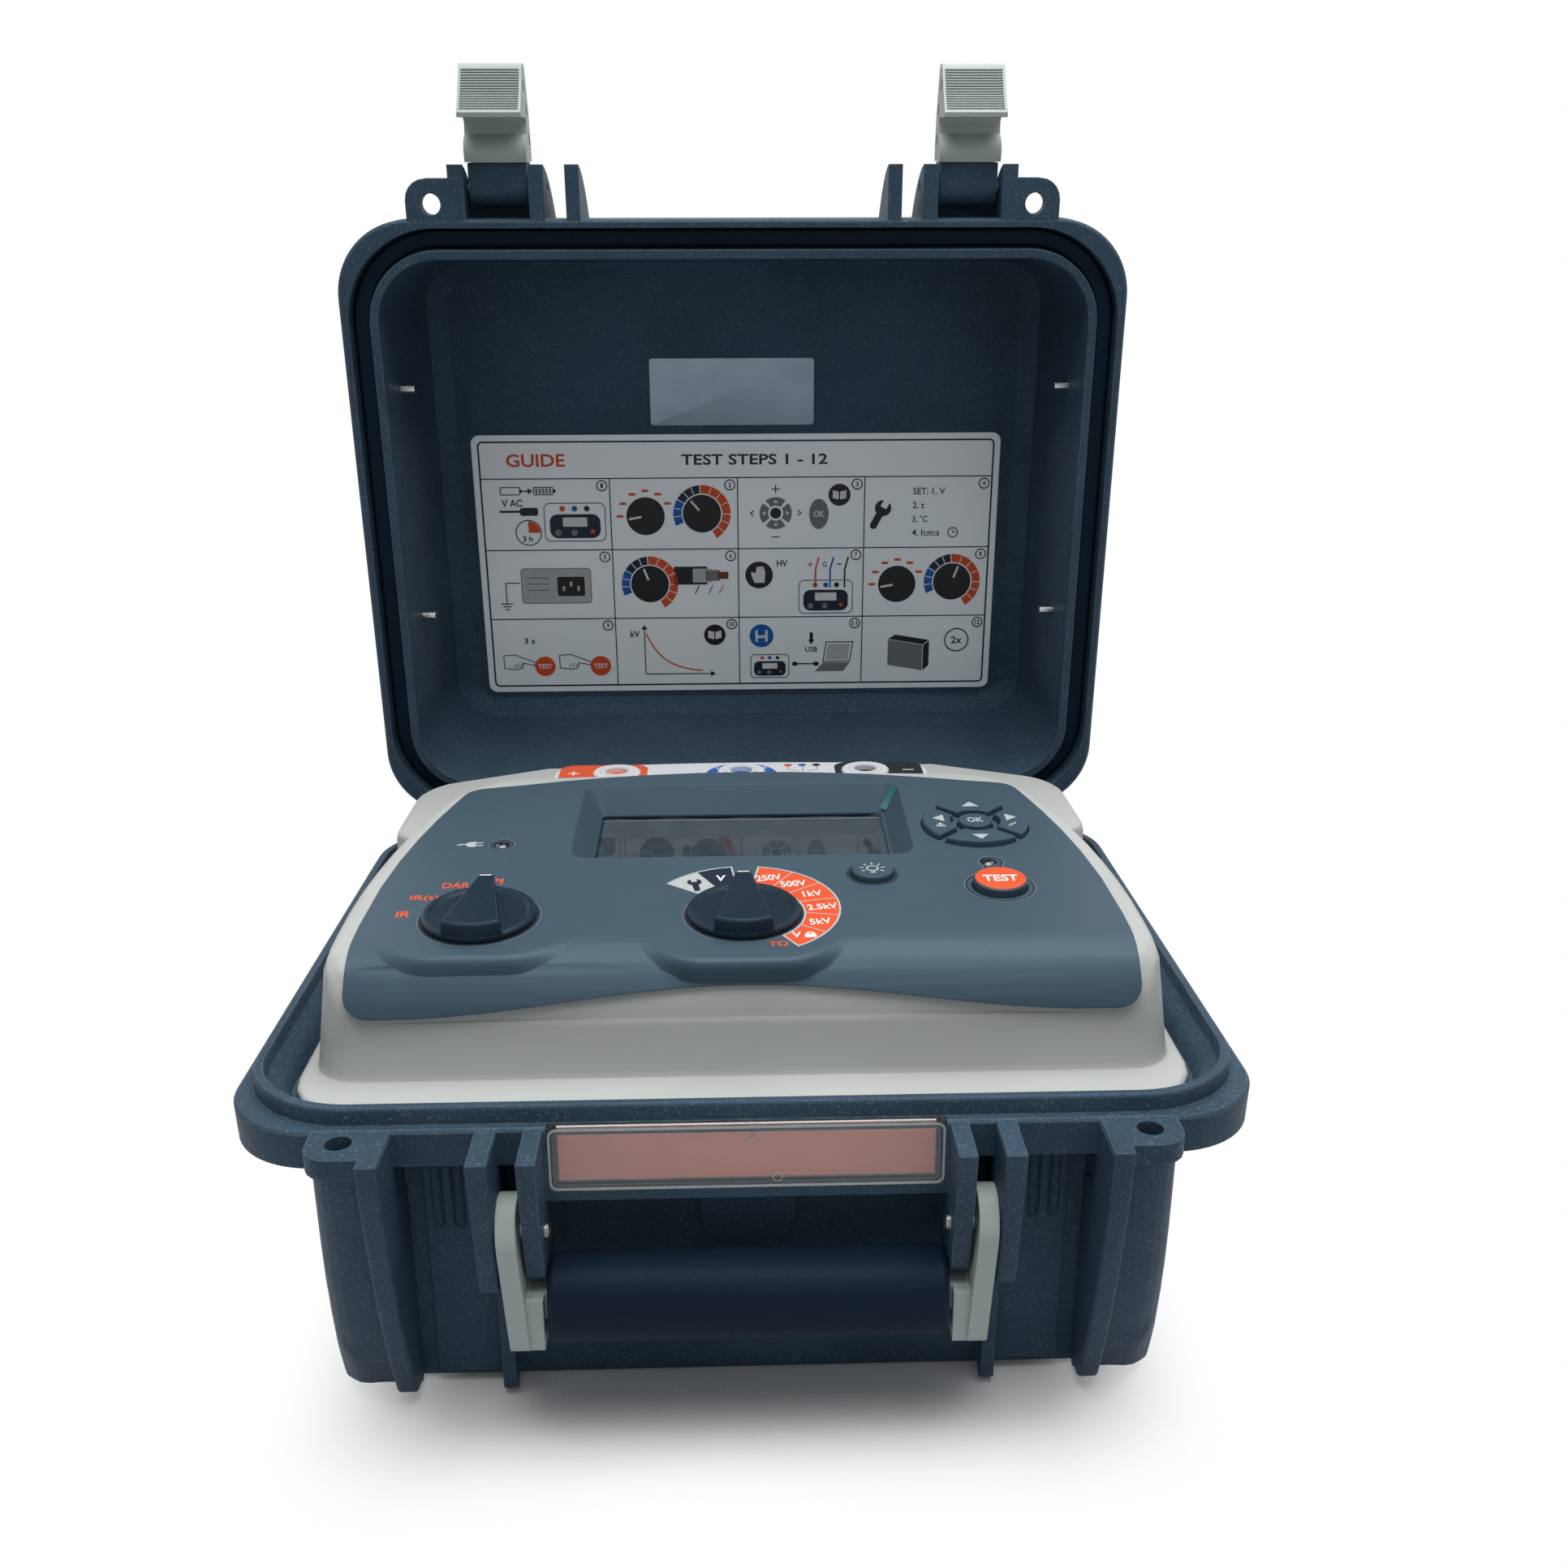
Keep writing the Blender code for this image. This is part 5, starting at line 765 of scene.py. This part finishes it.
def range_dial(pen, pointer):
    for start, end, ink in ((205, 150, "blue"), (148, 95, "navy"), (93, 0, "orange"), (-2, -60, "orange")):
        pen.sector(ink, 13.5, 9.6, start, end, 2)
    for angle in (186, 168, 130, 112, 70, 47, 24, -20, -40):
        pen.line("white", [polar(0, 0, reach, angle) for reach in (9.9, 13.2)], 0.45, 3)
    dial(pen, pointer)


def arrow(pen, length, width=0.6):
    pen.box("black", 0, length - 2, -width / 2, width / 2, 0.1, 2)
    pen.fill("black", [(length - 2.2, -1.5), (length, 0), (length - 2.2, 1.5)], 3)


def page_disc(pen):
    """A disc with an open booklet on it."""
    pen.disc("black", 0, 0, 5.2, 2)
    for side in (-1, 1):
        pen.fill("white", [(side * x, y) for x, y in ((0.3, -2.2), (3.2, -1.5), (3.2, 2.2), (0.3, 1.5))], 3)


def pad_motif(pen):
    for turn in (0, 90, 180, 270):
        pen.sector("grey", 7.6, 3.6, turn - 38, turn + 38, 2)
        pen.at(*polar(0, 0, 5.6, turn), turn - 90).fill("white", [(-1.1, -0.7), (1.1, -0.7), (0, 0.9)], 3)
    pen.disc("black", 0, 0, 2.6, 2, 24)
    pen.line("black", [(0, 9.5), (0, 13.3)], 0.5, 3)
    for side in (-1, 1):
        pen.line("black", [(-1.9, side * 11.4), (1.9, side * 11.4)], 0.5, 2)
        pen.line("black", [(side * 10.4, 1.3), (side * 11.9, 0), (side * 10.4, -1.3)], 0.5, 2)


def hand_motif(pen):
    """A finger on the test button."""
    finger = [(-11, 2.6), (-5.5, 3), (-2.4, 1.6), (3.6, -0.6), (4.4, -1.6), (3.8, -2.4), (-1.8, -1.3),
              (-2.2, -3.8), (-5, -4.6), (-11, -3.8)]
    pen.line("black", finger, 0.4, 2, True)
    for x in (-6.4, -4.9, -3.4):
        pen.line("black", [(x, -3.6), (x + 1.2, -1.6)], 0.35, 2)
    pen.disc("orange", 8.8, -3, 5, 2)
    pen.words("white", "TEST", 8.8, -3, 7, 2.4, 3)


def inlet_motif(pen):
    pen.box("pale", -14, 19, -9, 8, 1.5, 2)
    pen.line("grey", round_box(-14, 19, -9, 8, 1.5), 0.4, 3, True)
    pen.box("black", 3, 16, -5.5, 4, 1, 3)
    for spot in ((6, -1.8), (9.5, 0.4), (13, -1.8)):
        pen.at(*spot).box("pale", -0.6, 0.6, -1.2, 1.2, 0.2, 4)
    pen.line("black", [(-15, 1), (-21.5, 1), (-21.5, -9)], 0.5, 2)
    for k in range(3):
        pen.line("grey", [(-11.5, 3.5 - 3 * k), (-1, 3.5 - 3 * k)], 0.5, 3)
        half, y = 2.8 - 0.9 * k, -9.2 - 1.4 * k
        pen.line("black", [(-21.5 - half, y), (-21.5 + half, y)], 0.5, 3)


def cable_motif(pen):
    layers = ((-13, 3, 4.4, "black"), (-4, 5, 3.4, "pale"), (2, 9, 2.6, "grey"), (8, 13, 1.7, "brown"))
    for level, (x0, x1, half, ink) in enumerate(layers, 2):
        pen.box(ink, x0, x1, -half, half, 0.6, level)
    for x, ink in ((-1, "black"), (5.5, "blue"), (10.5, "orange")):
        pen.line(ink, [(x, -4.8), (x - 2, -9)], 0.5, 2)


def charge_motif(pen):
    for x, bars in ((-21, 0), (-5.5, 5)):
        pen.line("black", round_box(x, x + 9, 9.5, 13, 0.5), 0.45, 2, True)
        pen.box("black", x + 9.2, x + 10.2, 10.5, 12, 0.2, 2)
        for k in range(bars):
            pen.box("grey", x + 0.7 + 1.6 * k, x + 1.8 + 1.6 * k, 10, 12.5, 0.2, 2)
    arrow(pen.at(-10.4, 11.2), 4.4)
    pen.words("black", "V AC", -16, 5.6, 9.6, 3.4)
    pen.line("black", [(-22, 1.6), (-12, 1.6)], 1, 2)
    pen.box("black", -12.5, -4, -0.4, 3.4, 1.2, 3)
    pen.ring("black", -9, -8.5, 6.2, 5.7, 2)
    pen.fill("orange", [(-9, -8.5)] + arc(-9, -8.5, 5.5, 0, 90, 12), 2)
    pen.words("black", "3 h", -9.6, -11.4, 4.6, 2.6, 3)
    small_instrument(pen.at(13, -3.6, 0, 0.95))


def setting_motif(pen):
    pen.fill("black", turned(wrench(13), -21, 2, -28), 2)
    for k, (text, width) in enumerate((("SET: 1. V", 15), ("2. t", 5.4), ("3. °C", 7.2), ("4. h:m:s", 13))):
        pen.words("black", text, -7 + width / 2, 10 - 6.6 * k, width, 3.2, 2, 0, 0.012)
    pen.ring("black", 12.4, -9.8, 2.5, 2, 2)
    pen.line("black", [(12.4, -8.4), (12.4, -9.8), (13.6, -9.8)], 0.4, 2)


def leads_motif(pen):
    pen.disc("black", -20, 4, 6.6, 2)
    glove = [(-2.6, -3.6), (2.2, -3.6), (2.6, 1.6), (1.8, 4.2), (0.6, 4.4), (-1.4, 4.2), (-2.2, 1), (-4, 1.8),
             (-4.2, 0.6)]
    pen.at(-19.6, 3.8).fill("white", glove, 3)
    pen.words("black", "HV", -9, 9.6, 5, 3.2)
    for x, ink, sign, height in ((7, "orange", "+", 2.6), (14, "blue", "G", 2.6), (21, "black", "-", 0.6)):
        pen.line(ink, [(x, -2.5), (x, 6.5), (x + 1.6, 12.5)], 0.8, 2)
        pen.words(ink, sign, x - 2.6, 9, 2, height, 2)
    small_instrument(pen.at(12, -7, 0, 0.86))


def chart_motif(pen):
    for length, turn in ((25, 90), (34, 0)):
        arrow(pen.at(-16, -11.5, turn), length, 0.5)
    fall = [(-15.4 + 1.6 * k, -10.6 + 20 * exp(-0.19 * k)) for k in range(18)]
    pen.line("orange", fall, 0.6, 4)
    pen.words("black", "kV", -20.6, 9, 4.6, 3.2)
    page_disc(pen.at(18, 8.2))


def store_motif(pen):
    pen.disc("blue", -19, 7.5, 5.8, 2)
    pen.box("white", -22, -16, 4.5, 10.5, 0.6, 3)
    for low, high in ((7.8, 10.5), (4.6, 6.4)):
        pen.box("blue", -20.8, -17.2, low, high, 0.2, 4)
    small_instrument(pen.at(-15, -8, 0, 0.62))
    pen.words("black", "USB", 5.2, 0.4, 6, 2.6)
    arrow(pen.at(5.2, 9, -90), 6, 1.6)
    pen.line("black", [(-4, -7), (9, -7)], 0.6, 2)
    for x in (-2.8, 7.6):
        pen.box("black", x - 1.2, x + 1.2, -8, -6, 0.4, 3)
    laptop = pen.at(11, -6)
    laptop.line("black", [(0, 0), (13, 0), (14.5, 10), (1.5, 10)], 0.5, 2, True)
    laptop.fill("pale", [(1.2, 1), (12, 1), (13.2, 9), (2.4, 9)], 2)
    laptop.fill("grey", [(0, -0.6), (13, -0.6), (10, -5), (-4, -5)], 2)


def cell_motif(pen):
    """A battery block."""
    pen.fill("grey", [(-17, -8), (0, -11), (0, 2), (-17, 5)], 2)
    pen.fill("black", [(-17, 5.3), (0, 2.3), (3, 4.6), (-13.5, 7.4)], 2)
    pen.fill("navy", [(0.3, -11), (3.2, -8.4), (3.2, 4.3), (0.3, 2)], 2)
    pen.ring("black", 16.5, 4.5, 6, 5.4, 2)
    pen.words("black", "2x", 16.5, 4.5, 5.4, 3.6)


OK_KEY = [(8.4 + 4.6 * u, -0.5 + 7.2 * v) for u, v in circle(0, 0, 1, 36)]
GUIDE_STEPS = (  # what draws each part of a step, its place, and what else it takes
    ((charge_motif, 0, 0),),
    ((mode_dial, -13.5, -1), (range_dial, 13, 0, 40)),
    ((pad_motif, -12, 0), (page_disc, 18, 8.5), (Print.fill, 0, 0, "grey", OK_KEY, 2),
     (Print.words, 0, 0, "white", "OK", 8.4, -0.5, 5, 3, 3)),
    ((setting_motif, 0, 0),),
    ((inlet_motif, 0, 0),),
    ((range_dial, -12.5, 0, 20), (cable_motif, 12, 4)),
    ((leads_motif, 0, 0),),
    ((mode_dial, -13.5, -1), (range_dial, 13, 0, -20)),
    ((hand_motif, -14, -4), (hand_motif, 13, -4), (Print.words, 0, 0, "black", "3 s", -12, 6, 5, 3)),
    ((chart_motif, 0, 0),),
    ((store_motif, 0, 0),),
    ((cell_motif, 0, 0),),
)


def lid_plate(name, half, middle, bevel, look):
    """A thin plate inside the lid. Gives the plane of its root."""
    corner, inner_corner, inset, drop = bevel
    loops = []
    for cut, radius, z in ((0, corner, -LABEL_ROOT), (0, corner, LABEL_TOP - drop),
                           (inset, inner_corner, LABEL_TOP)):
        x, y = half[0] - cut, half[1] - cut
        loops.append([(*point, z) for point in round_box(-x, x, -y, y, radius)])
    place = LID_FACE @ shift(*middle, 0)
    skinned(name, loops, look, "lid", place, caps=True)
    return place


def guide_label():
    place = lid_plate("guide_label", GUIDE_HALF, GUIDE_MIDDLE, GUIDE_BEVEL, (FINISHES["label_white"], "terminal_white"))
    pen = Print("guide_print", place @ shift(0, 0, LABEL_TOP), "lid")
    edge, head = 3.2, 17
    right, rear = GUIDE_HALF[0] - edge, GUIDE_HALF[1] - edge
    top = rear - head
    width, height = 2 * right / 4, (top + rear) / 3
    pen.line("navy", round_box(-right, right, -rear, rear, 2), 0.8, 1, True)
    pen.words("black", "TEST STEPS 1 - 12", 8, rear - head / 2, 68, 5)
    pen.words("orange", "GUIDE", 26 - right, rear - head / 2, 27, 6)
    for k in range(3):
        pen.line("navy", [(-right, top - height * k), (right, top - height * k)], 0.5, 2)
        spot = width * (k + 1) - right
        pen.line("navy", [(spot, -rear), (spot, top)], 0.5, 3)
    for k, parts in enumerate(GUIDE_STEPS):
        step = pen.at(width * (k % 4 + 0.5) - right, top - height * (k // 4 + 0.5))
        for draw, x, y, *more in parts:
            draw(step.at(x, y), *more)
        spot = (width / 2 - 3.6, height / 2 - 3.4)
        step.ring("black", *spot, 2.6, 2.1, 4)
        step.words("black", str(k + 1), *spot, 1.1 if k < 9 else 2.3, 2.2, 4)
    pen.done()


def notice_plate():
    """The silver plate over the guide, left bare."""
    lid_plate("notice_plate", NOTICE_HALF, NOTICE_MIDDLE, NOTICE_BEVEL, (notice_silver(), "steel"))


# Latches, handle, screws and name plate

def latch_trim():
    """Ribs on the latch levers' thumb ramps, with painted shade in the grooves between them, and the slots in their
    side walls as dark plates of painted shade.
    """
    ramp = [Vector((104.18, 397.89)), Vector((109.89, 405.21)), Vector((115.47, 414.86))]
    runs = [(b - a).length for a, b in zip(ramp, ramp[1:])]
    low, high, middle = box_of("latch_right")
    count, start, end = 16, 2, sum(runs) - 0.9
    rib = ((-0.34, -0.05), (-0.22, 0.32), (0, 0.42), (0.22, 0.32), (0.34, -0.05))

    def spot(distance):
        """A place on the ramp, and the directions along it and out of it."""
        k = int(distance > runs[0])
        step = (ramp[k + 1] - ramp[k]).normalized()
        return ramp[k] + step * (distance - k * runs[0]), step, step.orthogonal()

    for word, side in SIDES:
        bm = bmesh.new()
        for k in range(count):
            here, step, out = spot(start + (end - start) * k / (count - 1))
            across = (low.x + 1, low.x + 1.3, high.x - 1.3, high.x - 1)
            rows = [[(side * x, *(here + step * along + out * rise)) for x in across] for along, rise in rib]
            rows = skin(bm, rows, closed=False, looped=True)
            for i in (0, 3):
                bm.faces.new([row[i] for row in rows])
        piece(f"latch_ribs_{word}", bm, "latch_grey", f"latch_{word}", Matrix(), 50)
        # A thin dark sheet under the ribs, painted as the shade in the grooves between them
        bm = bmesh.new()
        spots = [spot(distance) for distance in (start - 0.5, runs[0], end + 0.5)]
        path = [here - out * 0.05 for here, step, out in spots]
        path += [here + out * 0.04 for here, step, out in reversed(spots)]
        rows = [[(side * x, *point) for x in (low.x + 1, high.x - 1)] for point in path]
        rows = skin(bm, rows, closed=False, looped=True)
        for i in (0, 1):
            for quad in ((0, 1, 4, 5), (1, 2, 3, 4)):
                bm.faces.new([rows[k][i] for k in quad])
        piece(f"latch_groove_shade_{word}", bm, INKS["groove"], f"latch_{word}")
        # Dark plates on both faces of each side wall, painted as the shade in its slots
        bm = bmesh.new()
        for y, z in ((117, 408.5), (123.6, 400.6), (128.4, 390.2)):
            outline = turned(round_box(-0.9, 0.9, -2, 2, 0.5), y, z, 18)
            for wall, proud in ((low.x, -0.06), (high.x, 0.06)):
                skin(bm, [[(side * (wall + out), *spot) for spot in outline] for out in (-proud, proud)], caps=True)
        piece(f"latch_slot_shade_{word}", bm, INKS["shade"], f"latch_{word}")


def pin_heads():
    """Domed heads on the handle pins' inner ends."""
    profile = ((0.2, 0.02), (2.55, 0.02), (2.6, -0.35), (2, -0.95), (1, -1.25), (0.25, -1.3))
    for word, side in SIDES:
        pin = f"handle_pin_{word}"
        low, high, middle = box_of(pin)
        face = low.x if side > 0 else high.x
        loops = [[(face + side * out, y, z) for y, z in circle(middle.y, middle.z, radius, 24)]
                 for radius, out in profile]
        skinned(f"pin_head_{word}", loops, "steel", NODES[pin]["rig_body"], caps=True)


def screw_slot_shade():
    """Cross slots in the outer heads of the lid's side screws, as dark crosses of painted shade."""
    for (word, side), numbers in zip(SIDES, ((1, 2), (3, 4))):
        screws = [box_of(f"lid_screw_{number}") for number in numbers]
        face = screws[0][0 if side < 0 else 1].x
        plane = Matrix(((0, 0, side, face), (side, 0, 0, 0), (0, 1, 0, 0), (0, 0, 0, 1)))
        pen = Print(f"screw_slots_{word}", plane, "lid")
        for low, high, middle in screws:
            # Each arm of a cross is a dark bar of painted shade
            for turn in (40, 130):
                pen.at(side * middle.y, middle.z, turn).box("shade", -2.3, 2.3, -0.45, 0.45, 0.3)
        pen.done()


def name_plate_trim():
    """A pale line painted as the highlight on the clear cover's bevel, a thinner grey line inside it, and the cover's
    two moulding marks. The plate itself stays bare.
    """
    low, high, middle = box_of("name_plate_cover")
    face = shift(0, low.y, 0) @ Matrix.Rotation(pi / 2, 4, "X")
    pen = Print("cover_trim", face, "base")
    # The pale line is a painted highlight along the bevel
    for ink, inset, radius, width, level in (("pale", 0.5, 2.2, 0.7, 2), ("grey", 1.9, 1.4, 0.25, 1)):
        outline = round_box(low.x + inset, high.x - inset, low.z + inset, high.z - inset, radius)
        pen.line(ink, outline, width, level, True)
    pen.ring("pale", 1.5, high.z - 3.4, 1.5, 1.25)
    pen.ring("pale", 9, low.z + 3.4, 1.5, 1.25)
    pen.done()


# The case

def node_group(name):
    """A geometry group, its graph, and the mesh that comes in with its split faces welded."""
    group = bpy.data.node_groups.new(name, "GeometryNodeTree")
    for side in ("INPUT", "OUTPUT"):
        group.interface.new_socket("Geometry", in_out=side, socket_type="NodeSocketGeometry")
    g = Graph(group)
    start = g.get("NodeGroupInput")
    return group, g, g.get("GeometryNodeMergeByDistance", {"Geometry": start, "Distance": WELD})


def corner_rounding(name, opened):
    """Bends the flats of the case's plan corners back into the arcs that they were cut from."""
    group, g, weld = node_group(name)
    fine = g.get("GeometryNodeSubdivideMesh", {"Mesh": weld, "Level": 2})
    spot = g.get("GeometryNodeInputPosition")
    shut = g.get("VectorRotate", {"Vector": spot, "Center": HINGE * MM, "Angle": opened}, rotation_type="X_AXIS")
    across = g.add("SeparateXYZ", {0: shut}).outputs[:2]
    moves = [0, 0]
    for centre, low, high in CORNER_RINGS:
        away = [g.minus(g.maths("ABSOLUTE", c), at * MM) for c, at in zip(across, centre)]
        share = g.maths("FRACT", g.maths("DIVIDE", g.maths("ARCTAN2", away[1], away[0]), CORNER_FLAT))
        swing = g.times(g.minus(share, 0.5), CORNER_FLAT)
        stretch = g.maths("DIVIDE", g.maths("COSINE", swing), cos(CORNER_FLAT / 2))
        length = g.maths("SQRT", g.maths("ADD", *[g.times(a, a) for a in away]))
        reach = g.times(length, stretch)
        gain = g.minus(stretch, 1)
        for value, least in ((away[0], 0), (away[1], 0), (reach, low * MM)):
            gain = g.times(gain, g.maths("GREATER_THAN", value, least))
        gain = g.times(gain, g.maths("LESS_THAN", reach, high * MM))
        moves = [g.maths("ADD", move, g.times(g.maths("SIGN", c), g.times(a, gain)))
                 for move, c, a in zip(moves, across, away)]
    offset = g.get("CombineXYZ", dict(enumerate(moves)))
    offset = g.get("VectorRotate", {"Vector": offset, "Angle": -opened}, rotation_type="X_AXIS")
    bent = g.get("GeometryNodeSetPosition", {"Geometry": fine, "Offset": offset})
    g.add("NodeGroupOutput", {0: bent})
    return group


def case_smoothing():
    """Welds a CAD node's split faces and shades its curved stretches smooth."""
    group, g, weld = node_group("smooth_curves")
    plain = g.get("GeometryNodeRemoveAttribute", {"Geometry": weld, "Name": "custom_normal"})
    smooth = g.get("GeometryNodeSetShadeSmooth", {"Geometry": plain})
    angle = g.get("GeometryNodeInputMeshEdgeAngle")
    steep = g.get("FunctionNodeCompare", {0: angle, 1: SMOOTH_BELOW}, operation="GREATER_THAN")
    sharp = g.get("GeometryNodeSetShadeSmooth", {"Geometry": smooth, "Selection": steep, "Shade Smooth": False},
                  domain="EDGE")
    g.add("NodeGroupOutput", {0: sharp})
    return group


def fin_path(deep, foot):
    """Front edge of a fin in (y, z): it bows back as it goes down and ends in a round foot."""
    top, wall, bow, full = 100.8, -112.5, 33.9, 99
    path = []
    for k in range(19):
        depth = 1 + (deep - 1) * k / 18
        share = depth / full
        lead = 0.55 * min(depth / 12, 1) - 0.06
        path.append(Vector((wall - bow * (1 - 0.5 * share - 0.28 * share ** 3) - lead, top - depth)))
    inward = (path[-1] - path[-2]).normalized().orthogonal()
    middle = path[-1] + inward * foot
    turn = atan2(-inward.y, -inward.x)
    stop = (1.5 if turn > 0 else -0.5) * pi
    for k in range(1, 9):
        angle = turn + (stop - turn) * k / 8
        path.append(middle + foot * Vector((cos(angle), sin(angle))))
    return path


def fin_blades():
    """Rounded front edges and feet of the fins that stand on the base's front wall."""
    rim, rim_back, wall_back = 77, -125.2, -111  # height below the rim, and how far back a blade reaches there
    for word, side in SIDES:
        bm = bmesh.new()
        for x0, x1, deep, foot, edge in ((104.4, 110.9, 94.6, 4.6, 1.2), (73.63, 79.87, 46, 5.5, 0.9)):
            path = fin_path(deep, foot)
            across = [(x0, 6), (x0, edge)] + [(x0 + edge - edge * cos(a), edge - edge * sin(a))
                                             for a in (0.4, 0.8, 1.2, pi / 2)]
            across += [(x0 + x1 - x, depth) for x, depth in reversed(across)]
            loops = []
            for k, spot in enumerate(path):
                run = (path[min(k + 1, len(path) - 1)] - path[max(k - 1, 0)]).normalized()
                inward = run.orthogonal()
                back = rim_back if spot.y > rim else wall_back + 3.5 * (rim - spot.y) / rim
                reach = max(min(spot.x + 30, back), spot.x + 4)
                loop = [(side * x, *(spot + inward * depth)) for x, depth in across]
                loop[0], loop[-1] = ((end[0], reach, spot.y) for end in (loop[0], loop[-1]))
                loops.append(loop)
            skin(bm, loops, caps=True)
        piece(f"fin_blades_{word}", bm, "case_plastic", "base")


def dress_nodes():
    group = case_smoothing()
    bends = {"case_base": corner_rounding("base_corners", 0)}
    bends["case_lid"] = bends["lid_gasket"] = corner_rounding("lid_corners", LID_OPEN)
    for name, node in NODES.items():
        node.data.materials.clear()
        node.data.materials.append(FINISHES[SLOT_OF[name]])
        if name in bends:
            node.modifiers.new("round_corners", "NODES").node_group = bends[name]
        node.modifiers.new("smooth_curves", "NODES").node_group = group
        node.modifiers.new("even_normals", "WEIGHTED_NORMAL").keep_sharp = True


# Stage, in metres

def backdrop_rays(n):
    """1 for rays that see the backdrop itself: from the camera, a gloss or through glass."""
    rays = n.add("LightPath").outputs
    most = n.maths("MAXIMUM", rays["Is Camera Ray"], rays["Is Glossy Ray"])
    return n.maths("MAXIMUM", most, rays["Is Transmission Ray"])


def stage_floor():
    level = -0.0003
    footprint, reach = (0.088, 0.128, 1), 0.065  # the floor turns to pure white over this reach beyond the case
    bm = bmesh.new()
    loops = skin(bm, [[(x, y, level) for x, y in circle(0, 0, radius, 48)] for radius in (0.3, 0.8, 2, 5, 12)])
    bm.faces.new(loops[0])
    bmesh.ops.recalc_face_normals(bm, faces=bm.faces)
    n = Nodes("floor_white")
    beyond = n.vector("SUBTRACT", n.vector("ABSOLUTE", n.place), footprint)
    length = n.vector("LENGTH", n.vector("MAXIMUM", beyond, (0, 0, 0)))
    fade = n.get("MapRange", {"Value": length, "From Min": 0, "From Max": reach}, interpolation_type="SMOOTHSTEP")
    felt = n.noise(1.6)
    white = n.mix(felt, rgba((0.9, 0.91, 0.92)), rgba((0.95, 0.95, 0.95)))
    bounced = n.add("LightPath").outputs["Is Diffuse Ray"]
    colour = n.mix(bounced, white, rgba((0.42, 0.44, 0.47)))
    paper = n.get("BsdfPrincipled", {"Base Color": colour, "Roughness": 0.9, "Specular IOR Level": 0.1,
                                     "Normal": n.bump(felt, 0.12)})
    glow = n.get("Emission", {"Color": WHITE, "Strength": 1})
    share = n.times(fade, backdrop_rays(n))
    floor = meshed("floor", bm, n.surface(n.add("MixShader", {0: share, 1: paper, 2: glow})))


def stage_world(level):
    world = bpy.data.worlds.new("studio")
    bpy.context.scene.world = world
    world.use_nodes = True
    n = Graph(world.node_tree)
    white = n.get("Background", {"Color": WHITE, "Strength": 1})
    soft = n.get("Background", {"Color": (0.93, 0.97, 1, 1), "Strength": level})
    both = n.get("MixShader", {0: backdrop_rays(n), 1: soft, 2: white})
    n.add("OutputWorld", {"Surface": both})


def lamp(name, place, target, size, power):
    light = bpy.data.lights.new(name, "AREA")
    light.shape = "RECTANGLE"
    light.size, light.size_y = size
    light.energy = power
    holder = placed(name, light)
    holder.location = place
    holder.rotation_euler = (Vector(target) - Vector(place)).to_track_quat("-Z", "Y").to_euler()


def photo_camera():
    """The camera of the photograph, from the fit of the case's known points."""
    focal, middle = 1892.511, (963.993, 959.661)
    place = shift(*Vector((-1.218, -525.543, 337.094)) * MM)
    yaw, pitch, roll = (radians(a) for a in (-1.719, -17.946, 0.188))
    camera = bpy.data.cameras.new("photo_camera")
    camera.sensor_width = 36
    camera.lens = focal / PHOTO_SIDE * camera.sensor_width
    camera.shift_x = -(middle[0] - PHOTO_SIDE / 2) / PHOTO_SIDE
    camera.shift_y = (middle[1] - PHOTO_SIDE / 2) / PHOTO_SIDE
    camera.clip_start = 0.01
    turn = Matrix.Rotation(yaw, 3, "Z") @ Matrix.Rotation(pitch, 3, "X") @ Matrix.Rotation(roll, 3, "Y")
    axes = [turn @ Vector(axis) for axis in ((1, 0, 0), (0, 0, 1), (0, -1, 0))]
    holder = placed("photo_camera", camera)
    holder.matrix_world = place @ Matrix(axes).transposed().to_4x4()
    bpy.context.scene.camera = holder


for dress in (console_print, key_print, knob_ticks, knob_lands, display_trim, film, terminal_print, guide_label,
              notice_plate, latch_trim, pin_heads, screw_slot_shade, name_plate_trim, fin_blades, dress_nodes, stage_floor):
    dress()
stage_world(0.2)
lamp("overhead", (0.1, -0.1, 1.5), (0, 0, 0.1), (1.5, 1.25), 28)
lamp("front_fill", (0.2, -1.5, 0.9), (0, 0, 0.2), (1.2, 0.9), 1.4)
photo_camera()
bpy.context.scene.view_settings.view_transform = "Standard"
